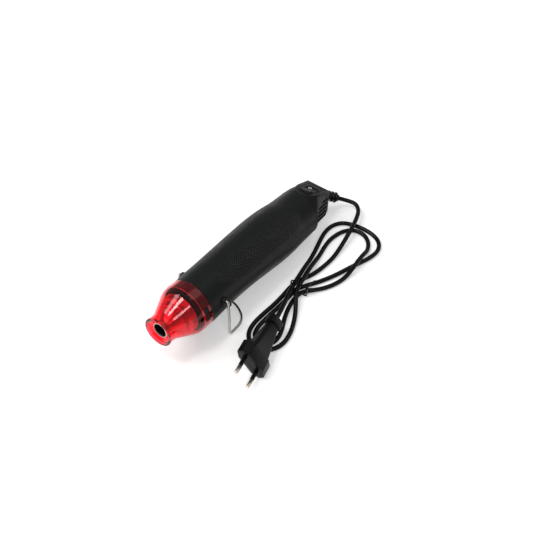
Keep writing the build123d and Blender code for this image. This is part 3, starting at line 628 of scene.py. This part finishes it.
def curved(points: list[tuple[float, ...]], steps: int = 6) -> list[tuple[float, ...]]:
    """A smooth line through stations (Catmull-Rom).

    Args:
        points: the stations.
        steps: new stations for each old one.

    Returns:
        The smoothed stations, ends kept.
    """
    ends = [points[0], *points, points[-1]]
    line = []
    for i in range(1, len(ends) - 2):
        a, b, c, d = ends[i - 1], ends[i], ends[i + 1], ends[i + 2]
        for k in range(steps):
            t = k / steps
            line.append(
                tuple(
                    0.5
                    * (
                        2 * b[j]
                        + (c[j] - a[j]) * t
                        + (2 * a[j] - 5 * b[j] + 4 * c[j] - d[j]) * t**2
                        + (3 * b[j] - a[j] - 3 * c[j] + d[j]) * t**3
                    )
                    for j in range(len(b))
                )
            )
    line.append(points[-1])
    return line


def joined(first: bpy.types.Object, *others: bpy.types.Object) -> bpy.types.Object:
    """Joins meshes into the first one.

    Args:
        first: the mesh that stays.
        others: the meshes that go into it.

    Returns:
        The first one.
    """
    deselect()
    for other in others:
        other.select_set(True)
    first.select_set(True)
    bpy.context.view_layer.objects.active = first
    bpy.ops.object.join()
    return first


def merged_copy(node: str, name: str, dissolve: float = 1.0) -> bpy.types.Object:
    """A copy of a CAD node with its loose triangles merged and its flat faces cleaned.

    Args:
        node: the CAD node.
        name: name of the copy.
        dissolve: angle in degrees under which faces are merged.

    Returns:
        The new object.
    """
    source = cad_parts[node]
    piece = bpy.data.objects.new(name, source.data.copy())
    bpy.context.scene.collection.objects.link(piece)
    deselect()
    piece.select_set(True)
    bpy.context.view_layer.objects.active = piece
    bpy.ops.object.mode_set(mode="EDIT")
    bpy.ops.mesh.select_all(action="SELECT")
    bpy.ops.mesh.remove_doubles(threshold=CAD_WELD)
    if dissolve:
        bpy.ops.mesh.dissolve_limited(angle_limit=math.radians(dissolve))
    bpy.ops.object.mode_set(mode="OBJECT")
    return piece


def drum(
    name: str, start: Vector, end: Vector, radius_mm: float, rim_mm: float, segments: int = 48
) -> bpy.types.Object:
    """A cylinder between two points with rounded rims.

    Args:
        name: name of the object.
        start: centre of one end, in metres.
        end: centre of the other end.
        radius_mm: its radius.
        rim_mm: round of the rims.
        segments: facets round it.

    Returns:
        The object, its place in its mesh.
    """
    deselect()
    line = end - start
    bpy.ops.mesh.primitive_cylinder_add(
        vertices=segments, radius=radius_mm * MM, depth=line.length, location=(0, 0, 0)
    )
    piece = bpy.context.object
    piece.name = name
    turn = line.to_track_quat("Z", "Y").to_matrix().to_4x4()
    into_frame(piece, Matrix.Translation((start + end) / 2) @ turn)
    bevelled(piece, rim_mm, angle=50.0)
    return piece


def block(
    name: str,
    size: tuple[float, float, float],
    spot: tuple[float, float, float],
    turn: float = 0.0,
    rim_mm: float = 0.0,
) -> bpy.types.Object:
    """A block in the tool's own coordinates.

    Args:
        name: name of the object.
        size: its size along, across and up, in mm.
        spot: its centre before it is turned, in mm.
        turn: its turn about the tool's axis, in degrees.
        rim_mm: round of its edges.

    Returns:
        The object, its place in its mesh.
    """
    deselect()
    bpy.ops.mesh.primitive_cube_add(size=1.0, location=(0, 0, 0))
    piece = bpy.context.object
    piece.name = name
    scale = Matrix.Diagonal((*[side * MM for side in size], 1.0))
    placing = Matrix.Rotation(math.radians(turn), 4, "X") @ Matrix.Translation(Vector(spot) * MM)
    into_frame(piece, AXIS.matrix() @ placing @ scale)
    if rim_mm:
        bevelled(piece, rim_mm)
    return piece


def side_name(side: int) -> str:
    """The word for a side: -1 is the near one."""
    return "near" if side < 0 else "far"


# Where the cover's windows and the snap tabs in them stand: mm along the axis, degrees round it
TAB_PLACE = 39.4
TAB_TURN = 76.0


@dataclass
class Nozzle:
    """The clear red cover with its latch windows, the metal air tube and the rings behind it."""

    wall: float = 1.7
    rim: float = 14.8
    rim_end: float = 1.1
    neck: float = 14.1
    neck_start: float = 4.0
    neck_end: float = 9.5
    inner_start: float = 2.6
    ring: float = 24.85
    bore_of_ring: float = 23.7
    ring_start: float = 32.1
    ring_end: float = 46.0
    ring_edge: float = 0.4
    bends: tuple[float, float, float] = (6.0, 12.0, 18.0)
    window: tuple[float, float, float] = (5.2, 14.0, 6.0)
    window_height: float = 24.7
    # The dished face from the bore outwards, and its back
    face: Outline = ((3.9, 7.7), (3.5, 8.3), (0.35, 12.7), (0.0, 13.3), (0.0, 13.9), (0.32, 14.5))
    face_back: Outline = ((2.4, 12.3), (5.8, 8.3), (5.9, 7.7))
    # The tube's lip, cone, two drums, flange and rear end, then back along its bore
    tube: Outline = (
        (3.2, 7.0), (3.15, 7.25), (3.3, 7.55), (3.6, 7.6), (6.0, 7.6), (8.7, 7.6), (9.3, 7.75),
        (18.7, 12.85), (19.3, 13.4), (19.6, 15.7), (20.1, 16.1), (24.4, 16.1), (24.9, 16.5),
        (25.3, 18.9), (25.8, 19.3), (31.6, 19.3), (32.0, 18.9), (32.2, 13.2), (32.6, 13.0),
        (35.2, 13.0), (35.5, 13.2), (35.5, 23.3), (35.8, 23.6), (36.2, 23.6), (36.5, 23.3),
        (36.5, 13.2), (36.8, 13.0), (49.0, 13.0), (49.0, 12.4), (19.0, 12.4), (9.0, 7.0),
        (6.0, 7.0),
    )
    # The dull black lining of the bore's front, just inside the steel
    scale: Outline = (
        (4.4, 6.99), (9.0, 6.99), (19.0, 12.39), (19.0, 12.3), (9.0, 6.92), (4.4, 6.92),
    )
    # A band of painted light on the black spigot, under the ring
    light_band: Outline = ((36.7, 23.45), (36.7, 23.58), (45.9, 23.58), (45.9, 23.45))
    flange_ring: Outline = (
        (34.9, 13.5), (34.7, 13.8), (34.7, 23.0), (34.9, 23.3), (35.4, 23.3), (35.4, 13.5),
    )

    def build_cover(self) -> None:
        """The cover's shell with its dished face and two windows."""
        shift = self.wall * math.tan(
            math.atan((self.ring - self.neck) / (self.ring_start - self.neck_end)) / 2
        )
        outer = rounded(
            [
                (self.rim_end, self.rim),
                (self.neck_start, self.neck),
                (self.neck_end, self.neck),
                (self.ring_start, self.ring),
                (self.ring_end - self.ring_edge, self.ring),
            ],
            list(self.bends),
        )
        inner = rounded(
            [
                (self.ring_end, self.bore_of_ring),
                (self.ring_start + shift, self.bore_of_ring),
                (self.neck_end + shift, self.neck - self.wall),
                (self.inner_start, self.neck - self.wall),
            ],
            [self.bends[2] - self.wall, self.bends[1] + self.wall],
        )
        rear = (self.ring_end, self.ring - self.ring_edge)
        outline = (*self.face, *outer, rear, *inner, *self.face_back)
        piece = lathe("nozzle_cover_shell", outline, segments=160)
        spot = (TAB_PLACE, 0.0, self.window_height)
        cut(piece, [block("window", self.window, spot, -side * TAB_TURN) for side in (-1, 1)])
        settle(piece, Body.HOUSING, CLEAR_RED, ("nozzle_cover",), 35.0)

    def build_tube(self) -> None:
        """The stepped air tube."""
        piece = lathe("air_tube_turned", self.tube)
        settle(piece, Body.HOUSING, STEEL, ("air_tube",), 30.0)

    def build_rings(self) -> None:
        """The dull black lining of the bore's front, the band of painted light on the spigot and
        the black ring on the tube's flange.
        """
        rings = (
            ("bore_dark_lining", self.scale, 96, BORE_LINING, Slot.STEEL),
            ("spigot_painted_light_band", self.light_band, 128, PAINTED_RING_LIGHT, Slot.BLACK_SHELL),
            ("heat_ring", self.flange_ring, 128, HEAT_RING, Slot.INNER_PLASTIC),
        )
        for name, outline, segments, finish, slot in rings:
            settle(lathe(name, outline, segments), Body.HOUSING, finish)

    def build(self) -> None:
        """Builds the cover and what shows through it."""
        self.build_cover()
        self.build_tube()
        self.build_rings()


@dataclass
class Handle:
    """The swelling barrel with its front spigot, snap tabs, stand bosses and stop lugs."""

    radius: float = 25.0
    start: float = 52.0
    end: float = 208.0
    wall: float = 2.2
    inner_start: float = 57.0
    # Radius and lift at equal steps from start to end, as shares of the radius
    swell: tuple[tuple[float, float], ...] = (
        (1.000, 0.000), (0.992, 0.048), (0.996, 0.080), (1.020, 0.088), (1.056, 0.064),
        (1.088, 0.028), (1.080, -0.016), (1.020, -0.056), (0.990, -0.060),
    )
    spigot: Outline = ((56.0, 22.6, 0.2), (55.5, 21.6), (36.5, 21.6), (36.5, 23.5), (46.1, 23.5))
    front_skin: Outline = ((46.1, 24.3), (46.5, 24.7), (49.0, 24.85), (52.0, 25.0))
    # Steps from the last station: the skin runs over the tail's edge and hides the joint
    rear_rim: Outline = ((0.7, 0.03), (0.9, -0.2), (0.2, -1.0))
    boss_place: float = 62.0
    boss_height: float = 6.4
    boss_radius: float = 3.4
    boss_reach: float = 26.4
    boss_root: float = 23.4
    boss_rim: float = 0.8
    lug_reach: float = 29.6
    lug_root: float = 23.6
    lug_size: tuple[float, float] = (2.2, 3.6)
    lug_place: tuple[float, float] = (65.1, 1.4)
    lug_rim: float = 0.5
    tab_size: tuple[float, float, float] = (4.6, 13.4, 2.8)
    tab_height: float = 23.0
    tab_rim: float = 0.4

    def stations(self, inset: float) -> list[tuple[float, ...]]:
        """The smooth stations of the barrel.

        Args:
            inset: how far inside the outer surface, in mm.

        Returns:
            Place, radius and lift of each station.
        """
        step = (self.end - self.start) / (len(self.swell) - 1)
        rough = [
            (self.start + i * step, r * self.radius - inset, lift * self.radius)
            for i, (r, lift) in enumerate(self.swell)
        ]
        return curved(rough, 7)

    def build(self) -> None:
        """The barrel, joined to its bosses, lugs and tabs."""
        outer = self.stations(0.0)
        rim_s, rim_r, rim_u = outer[-1]
        outer += [(rim_s + along, rim_r + out, rim_u) for along, out in self.rear_rim]
        inner = [item for item in reversed(self.stations(self.wall)) if item[0] > self.inner_start]
        outline = (*self.spigot, *self.front_skin, *outer[1:], *inner)
        barrel = lathe("barrel_moulding", outline, segments=160)
        extras = []
        for side in (-1, 1):
            tip = AXIS.place(self.boss_place, side * self.boss_reach, self.boss_height)
            root = AXIS.place(self.boss_place, side * self.boss_root, self.boss_height)
            name = f"stand_boss_{side_name(side)}"
            extras.append(drum(name, root, tip, self.boss_radius, self.boss_rim))
            extras.append(self.lug(side))
            extras.append(self.tab(side))
        joined(barrel, *extras)
        settle(barrel, Body.HOUSING, SHELL, ("barrel_shell",), 35.0)

    def lug(self, side: int) -> bpy.types.Object:
        """The stop lug behind a leg of the stand.

        Args:
            side: -1 for the near side, 1 for the far side.

        Returns:
            The lug.
        """
        along, tall = self.lug_size
        spot = (self.lug_place[0], side * (self.lug_reach + self.lug_root) / 2, self.lug_place[1])
        size = (along, self.lug_reach - self.lug_root, tall)
        return block(f"stop_lug_{side_name(side)}", size, spot, rim_mm=self.lug_rim)

    def tab(self, side: int) -> bpy.types.Object:
        """The snap tab that stands in the cover's window on one side: -1 is the near one."""
        name, turn = f"snap_tab_{side_name(side)}", -side * TAB_TURN
        return block(name, self.tab_size, (TAB_PLACE, 0.0, self.tab_height), turn, self.tab_rim)


@dataclass
class Tail:
    """The vented tail with the switch."""

    # The panel's height above the axis at its two ends, which stand at front and rear
    panel_front: float = 23.4
    panel_rear: float = 11.6
    front: float = 208.0
    rear: float = 244.0
    switch_place: float = 19.5
    rocker_drop: float = 2.6
    rocker_tilt: float = 11.0
    rocker_radius: float = 8.3
    rocker_crown: float = 2.0
    rocker_edge: float = 3.6
    shell_round: float = 0.7
    bezel_round: float = 0.35
    key_round: float = 0.4
    # The ring's and the bar's place along and across the rocker, and how the ink stands on it
    mark_runs: tuple[float, float] = (4.4, -5.6)
    mark_sides: tuple[float, float] = (2.2, 1.4)
    ink_rise: float = 0.2
    ring_radii: tuple[float, float] = (1.6, 0.36)
    ring_flat: float = 0.3
    bar_size: tuple[float, float, float] = (2.8, 0.9, 0.16)
    bar_round: float = 0.05

    def panel(self, along: float, y: float, rise: float) -> Vector:
        """A point of the sloping switch panel.

        Args:
            along: down the slope from its front edge, in mm.
            y: across, in mm.
            rise: above the panel, in mm.

        Returns:
            The point in metres.
        """
        slope = self.slope()
        s = self.front + along * math.cos(slope) + rise * math.sin(slope)
        u = self.panel_front - along * math.sin(slope) + rise * math.cos(slope)
        return AXIS.place(s, y, u)

    def slope(self) -> float:
        """The panel's slope against the tool's axis, in radians."""
        return math.atan((self.panel_front - self.panel_rear) / (self.rear - self.front))

    def build_shell(self) -> None:
        """The tail's moulding with rounded edges."""
        piece = merged_copy("tail_shell", "tail_moulding")
        bevelled(piece, self.shell_round, angle=24.0)
        settle(piece, Body.HOUSING, TAIL, ("tail_shell",), 35.0)

    def build_switch(self) -> None:
        """The switch frame and the rocker."""
        bezel = merged_copy("switch_frame", "switch_bezel")
        bevelled(bezel, self.bezel_round, angle=40.0)
        settle(bezel, Body.HOUSING, GLOSS, ("switch_frame",), 35.0)
        rocker = merged_copy("switch_rocker", "rocker_key")
        bevelled(rocker, self.key_round, angle=24.0)
        settle(rocker, Body.ROCKER, GLOSS, ("switch_rocker",), 35.0)

    def build_marks(self) -> None:
        """The generic marks of the rocker's two positions, as thin ink."""
        deselect()
        major, minor = (radius * MM for radius in self.ring_radii)
        bpy.ops.mesh.primitive_torus_add(
            major_radius=major, minor_radius=minor, major_segments=48, minor_segments=12
        )
        ring = bpy.context.object
        ring.name = "mark_off_ring"
        flat = Matrix.Diagonal((1.0, 1.0, self.ring_flat, 1.0))
        into_frame(ring, self.mark_matrix(self.mark_runs[0], self.mark_sides[0]) @ flat)
        settle(ring, Body.ROCKER, MARK)
        deselect()
        bpy.ops.mesh.primitive_cube_add(size=1.0)
        bar = bpy.context.object
        bar.name = "mark_on_bar"
        size = Matrix.Diagonal((*[side * MM for side in self.bar_size], 1.0))
        into_frame(bar, self.mark_matrix(self.mark_runs[1], self.mark_sides[1]) @ size)
        bevelled(bar, self.bar_round, 2)
        settle(bar, Body.ROCKER, MARK)

    def mark_matrix(self, run: float, side: float) -> Matrix:
        """The placing of a mark on one face of the resting rocker.

        Args:
            run: distance from the pivot along the rocker, towards the tail, in mm.
            side: distance across, in mm.

        Returns:
            The placing in the frame.
        """
        reach = math.sqrt(self.rocker_radius**2 - self.rocker_edge**2)
        fall = (self.rocker_edge - self.rocker_crown) / reach
        height = self.rocker_crown + fall * abs(run) + self.ink_rise
        turn = math.radians(AXIS.tilt + self.rocker_tilt) + self.slope()
        pivot = Matrix.Translation(self.panel(self.switch_place, side, -self.rocker_drop))
        base = pivot @ Matrix.Rotation(turn, 4, "Y")
        lean = Matrix.Rotation(-math.copysign(math.atan(fall), run), 4, "Y")
        return base @ Matrix.Translation(Vector((run, 0.0, height)) * MM) @ lean

    def build(self) -> None:
        """Builds the tail and the switch."""
        self.build_shell()
        self.build_switch()
        self.build_marks()


@dataclass
class Stand:
    """The wire stand."""

    def build(self) -> None:
        """The bent wire, smoothed."""
        piece = merged_copy("stand_wire", "stand_bent_wire", 0.0)
        settle(piece, Body.STAND, WIRE, ("stand_wire",), 50.0)


@dataclass
class Lead:
    """The lead, its strain relief, tie and plug."""

    diameter: float = 4.5
    seat_x: float = 121.573
    # The strain relief's bend in the tool's coordinates, its direction, and the lead's first corner
    gland_corner: tuple[float, float, float] = (250.8, 0.0, -4.0)
    gland_aim: tuple[float, float, float] = (0.60, -0.72, -0.345)
    gland_length: float = 19.0
    first_corner: float = 30.0
    # The plug lies on its side, turned on the floor, and the lead leaves its collar
    plug_turn: float = 13.3
    plug_lean: float = 55.0
    plug_width: float = 35.3
    plug_edge: float = 3.0
    plug_shares: tuple[float, float] = (-46.11, -16.53)
    collar_end: float = 55.0
    last_corner: float = 66.0
    plug_round: float = 0.8
    tie_shift: tuple[float, float, float] = (2.1, -2.7, 0.0)
    tie_round: float = 0.25
    # The lead's control points from seat_x: ahead, beside and above, in widths of the lead
    shares: tuple[tuple[float, float, float], ...] = (
        (5.87, -7.00, 1.91), (4.29, -8.73, 1.84), (1.84, -9.69, 1.82), (-0.93, -10.44, 1.82),
        (-4.04, -11.07, 1.64), (-7.38, -11.51, 0.93), (-10.49, -11.76, 0.50),
        (-13.60, -11.60, 0.50), (-16.49, -11.20, 0.50), (-18.82, -10.42, 0.50),
        (-20.82, -9.64, 0.67), (-23.16, -9.42, 0.82), (-26.04, -9.53, 0.64),
        (-29.16, -9.49, 0.50), (-32.27, -9.22, 0.50), (-35.16, -9.11, 0.50),
        (-37.71, -9.51, 0.50), (-39.60, -10.78, 0.50), (-40.42, -12.78, 0.50),
        (-40.04, -15.00, 0.50), (-38.38, -16.67, 0.50), (-36.04, -17.24, 0.50),
        (-33.38, -16.80, 0.50), (-30.71, -15.76, 0.50), (-28.38, -14.51, 0.76),
        (-26.27, -13.07, 1.53), (-24.71, -11.84, 1.89), (-22.71, -11.20, 1.97),
        (-20.04, -10.73, 1.91), (-17.38, -10.11, 1.78), (-14.71, -9.53, 1.16),
        (-12.04, -9.02, 0.50), (-9.16, -8.36, 0.50), (-6.49, -8.00, 0.50), (-3.82, -8.31, 0.50),
        (-1.60, -9.24, 0.50), (-0.22, -11.00, 0.50), (-0.27, -13.33, 0.50), (-1.60, -15.33, 0.50),
        (-3.82, -16.58, 0.50), (-6.27, -16.93, 1.40), (-8.71, -17.22, 1.80),
        (-10.93, -17.33, 1.38), (-13.60, -17.20, 0.50), (-16.49, -16.53, 0.50),
        (-19.04, -15.27, 0.50), (-21.27, -13.47, 0.64), (-23.16, -12.09, 0.82),
        (-25.38, -11.96, 0.64), (-28.04, -12.42, 0.50), (-30.71, -13.38, 0.50),
        (-33.16, -14.64, 0.50), (-35.38, -15.47, 0.50), (-37.71, -15.40, 0.50),
        (-39.02, -13.38, 0.50), (-38.49, -11.33, 0.50), (-36.16, -10.42, 0.50),
        (-32.93, -10.44, 0.50), (-29.60, -10.64, 0.50), (-26.04, -10.76, 0.64),
        (-23.38, -10.67, 0.82), (-21.16, -11.56, 0.64), (-18.71, -13.02, 0.50),
        (-16.04, -14.38, 0.50), (-13.16, -15.53, 0.50), (-10.27, -16.44, 0.50),
        (-7.38, -17.60, 0.50), (-4.71, -18.44, 0.50), (-2.04, -18.44, 0.50), (0.02, -17.02, 0.50),
        (1.04, -14.67, 0.50), (1.20, -12.00, 0.50), (0.89, -9.33, 0.50), (-0.16, -7.00, 0.50),
        (-2.27, -5.78, 0.50), (-4.93, -5.69, 0.50), (-7.82, -6.36, 0.50), (-10.93, -7.31, 0.50),
        (-14.04, -8.04, 0.50), (-16.71, -8.64, 1.16), (-19.38, -9.42, 1.87),
        (-22.49, -10.00, 1.97), (-25.16, -10.76, 2.27), (-27.60, -11.64, 2.93),
        (-30.04, -12.58, 3.47),
    )

    def gland_points(self) -> tuple[Vector, Vector]:
        """Where the lead leaves the strain relief.

        Returns:
            The strain relief's end and the lead's first corner, in metres.
        """
        corner = AXIS.place(*self.gland_corner)
        aim = Vector(self.gland_aim).normalized()
        return corner + aim * self.gland_length * MM, corner + aim * self.first_corner * MM

    def plug_points(self) -> tuple[Vector, Vector]:
        """Where the lead comes into the plug.

        Returns:
            The lead's last corner and the collar's end, in metres.
        """
        turn, lean = math.radians(self.plug_turn), math.radians(self.plug_lean)
        into = Vector((math.cos(turn), math.sin(turn), 0.0))
        height = self.plug_width / 2 * math.sin(lean) + self.plug_edge * math.cos(lean)
        ahead, beside = (share * self.diameter for share in self.plug_shares)
        centre = Vector((self.seat_x + ahead, beside, height))
        return (centre + into * self.last_corner) * MM, (centre + into * self.collar_end) * MM

    def route(self) -> list[Vector]:
        """The lead's way from the strain relief to the plug.

        Returns:
            Its control points, in metres.
        """
        points = list(self.gland_points())
        seat = Vector((self.seat_x, 0.0, 0.0))
        points.extend((seat + Vector(share) * self.diameter) * MM for share in self.shares)
        points.extend(self.plug_points())
        return points

    def build_lead(self) -> None:
        """The lead as one smooth spline.
        """
        points = self.route()
        curve = bpy.data.curves.new("lead_sheath", "CURVE")
        curve.dimensions = "3D"
        curve.resolution_u = 8
        curve.bevel_depth = self.diameter / 2 * MM
        curve.bevel_resolution = 6
        curve.use_fill_caps = True
        spline = curve.splines.new("NURBS")
        spline.points.add(len(points) - 1)
        for knot, point in zip(spline.points, points):
            knot.co = (*point, 1.0)
        spline.order_u = 3
        spline.use_endpoint_u = True
        lead = bpy.data.objects.new("lead_sheath", curve)
        bpy.context.scene.collection.objects.link(lead)
        settle(lead, Body.HOUSING, PVC, ("power_cord", "cord_hank"))

    def build(self) -> None:
        """Builds the lead and what is on it."""
        gland = merged_copy("cord_gland", "strain_relief", 0.0)
        settle(gland, Body.HOUSING, PVC, ("cord_gland",), 40.0)
        plug = merged_copy("plug_body", "plug_moulding")
        bevelled(plug, self.plug_round, angle=20.0)
        settle(plug, Body.HOUSING, PLUG, ("plug_body",), 35.0)
        pins = merged_copy("plug_pins", "plug_contacts", 0.0)
        settle(pins, Body.HOUSING, NICKEL, ("plug_pins",), 35.0)
        sleeves = merged_copy("plug_pin_sleeves", "contact_sleeves", 0.0)
        settle(sleeves, Body.HOUSING, PLUG, ("plug_pin_sleeves",), 35.0)
        tie = merged_copy("twist_tie", "hank_tie")
        into_frame(tie, Matrix.Translation(Vector(self.tie_shift) * MM))
        bevelled(tie, self.tie_round, 2, 40.0)
        settle(tie, Body.HOUSING, PVC, ("twist_tie",), 35.0)
        self.build_lead()


INNER_FINISHES: dict[str, Finish] = {
    "mica_sleeve": MICA,
    "mica_core": MICA,
    "heater_coil": HEATING,
    "heater_carrier": INNER,
    "thermal_cutout": EPOXY,
    "motor_mount": INNER,
    "motor_can": STEEL,
    "motor_end_cap": INNER,
    "motor_shaft": STEEL,
    "fan_impeller": INNER,
    "rectifier_board": LAMINATE,
    "diodes": EPOXY,
    "capacitor": EPOXY,
    "switch_terminals": BRASS,
    "housing_screws": STEEL,
    "inner_cable": PVC,
    "inner_wires": SHEATH,
    "cord_clamp": INNER,
    "clamp_screws": STEEL,
}


def dress_inner_nodes() -> None:
    """Gives every CAD node that stays its finish."""
    for node, finish in INNER_FINISHES.items():
        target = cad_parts[node]
        if not target.material_slots:
            target.data.materials.append(None)
        for slot in target.material_slots:
            slot.material = finish.build()
        LOG.info("node %s is dressed", node)


@dataclass(frozen=True)
class SoftBox:
    """A square soft box: its place and side in metres, and its power in watts."""

    name: str
    place: tuple[float, float, float]
    side: float
    power: float

    def build(self, aim: Vector) -> None:
        """Sets the lamp up.

        Args:
            aim: the point that it looks at, in metres.
        """
        data = bpy.data.lights.new(self.name, "AREA")
        data.shape = "SQUARE"
        data.size = self.side
        data.energy = self.power
        lamp = bpy.data.objects.new(self.name, data)
        bpy.context.scene.collection.objects.link(lamp)
        spot = Vector(self.place)
        turn = (aim - spot).to_track_quat("-Z", "Y").to_matrix().to_4x4()
        lamp.matrix_world = Matrix.Translation(spot) @ turn


@dataclass
class Studio:
    """The floor, the soft lights and the camera."""

    eye: tuple[float, float, float] = (-439.1, -364.1, 641.8)
    aim: tuple[float, float, float] = (10.7, -22.4, 20.0)
    lens: float = 58.55
    lamps: tuple[SoftBox, ...] = (
        SoftBox("soft_box_back", (-0.7, 1.0, 1.4), 0.9, 15.0),
        SoftBox("soft_box_side", (0.8, -0.3, 1.5), 0.9, 2.0),
        SoftBox("soft_box_top", (-0.45, 0.2, 1.4), 0.3, 5.0),
        SoftBox("soft_box_front", (-0.56, -0.77, 1.14), 0.26, 2.0),
    )
    lamp_aim: tuple[float, float, float] = (0.0, -0.02, 0.02)
    fill: float = 0.34
    floor_side: float = 8.0
    floor_colour: str = "#f4f4f3"
    floor_glow: float = 0.36

    def build_camera(self) -> None:
        """The camera at the photograph's place."""
        data = bpy.data.cameras.new("studio_camera")
        data.lens = self.lens
        data.sensor_width = 36.0
        data.clip_start = 0.01
        data.clip_end = 20.0
        camera = bpy.data.objects.new("studio_camera", data)
        bpy.context.scene.collection.objects.link(camera)
        place = Vector(self.eye) * MM
        look = Vector(self.aim) * MM - place
        turn = look.to_track_quat("-Z", "Y").to_matrix().to_4x4()
        camera.matrix_world = Matrix.Translation(place) @ turn
        bpy.context.scene.camera = camera

    def build_floor(self) -> None:
        """The pale floor: plain diffuse, brightened where it is seen but not where it lights."""
        deselect()
        bpy.ops.mesh.primitive_plane_add(size=self.floor_side, location=(0, 0, 0))
        floor = bpy.context.object
        floor.name = "studio_floor"
        material = bpy.data.materials.new("pale_paper_floor")
        material.use_nodes = True
        tree = material.node_tree
        tree.nodes.clear()
        path = put(tree, "ShaderNodeLightPath")
        seen = path.outputs["Is Camera Ray"]
        for ray in ("Is Glossy Ray", "Is Transmission Ray"):
            seen = put(
                tree,
                "ShaderNodeMath",
                {"operation": "ADD", "use_clamp": True},
                links={0: seen, 1: path.outputs[ray]},
            ).outputs[0]
        share = put(
            tree, "ShaderNodeMath", {"operation": "MULTIPLY"}, {1: self.floor_glow}, {0: seen}
        )
        paper = put(tree, "ShaderNodeBsdfDiffuse", values={"Color": linear(self.floor_colour)})
        glow = put(
            tree,
            "ShaderNodeEmission",
            values={"Color": (1, 1, 1, 1)},
            links={"Strength": share.outputs[0]},
        )
        both = put(tree, "ShaderNodeAddShader", links={0: paper.outputs[0], 1: glow.outputs[0]})
        put(tree, "ShaderNodeOutputMaterial", links={"Surface": both.outputs[0]})
        floor.data.materials.append(material)

    def build_world(self) -> None:
        """Soft light from all round, white where it is seen."""
        world = bpy.data.worlds.new("studio_world")
        bpy.context.scene.world = world
        world.use_nodes = True
        tree = world.node_tree
        tree.nodes.clear()
        path = put(tree, "ShaderNodeLightPath")
        strength = put(
            tree,
            "ShaderNodeMapRange",
            values={"To Min": self.fill, "To Max": 1.0},
            links={"Value": path.outputs["Is Camera Ray"]},
        )
        light = put(
            tree,
            "ShaderNodeBackground",
            values={"Color": (1.0, 1.0, 1.0, 1.0)},
            links={"Strength": strength.outputs[0]},
        )
        put(tree, "ShaderNodeOutputWorld", links={"Surface": light.outputs[0]})

    def build(self) -> None:
        """Builds the studio."""
        scene = bpy.context.scene
        scene.view_settings.view_transform = "Standard"
        self.build_camera()
        self.build_floor()
        self.build_world()
        for lamp in self.lamps:
            lamp.build(Vector(self.lamp_aim))


def main() -> None:
    """Builds the studio and the tool in order."""
    Studio().build()
    Lead().build()
    Nozzle().build()
    Handle().build()
    Tail().build()
    Stand().build()
    dress_inner_nodes()


if __name__ == "__main__":
    main()
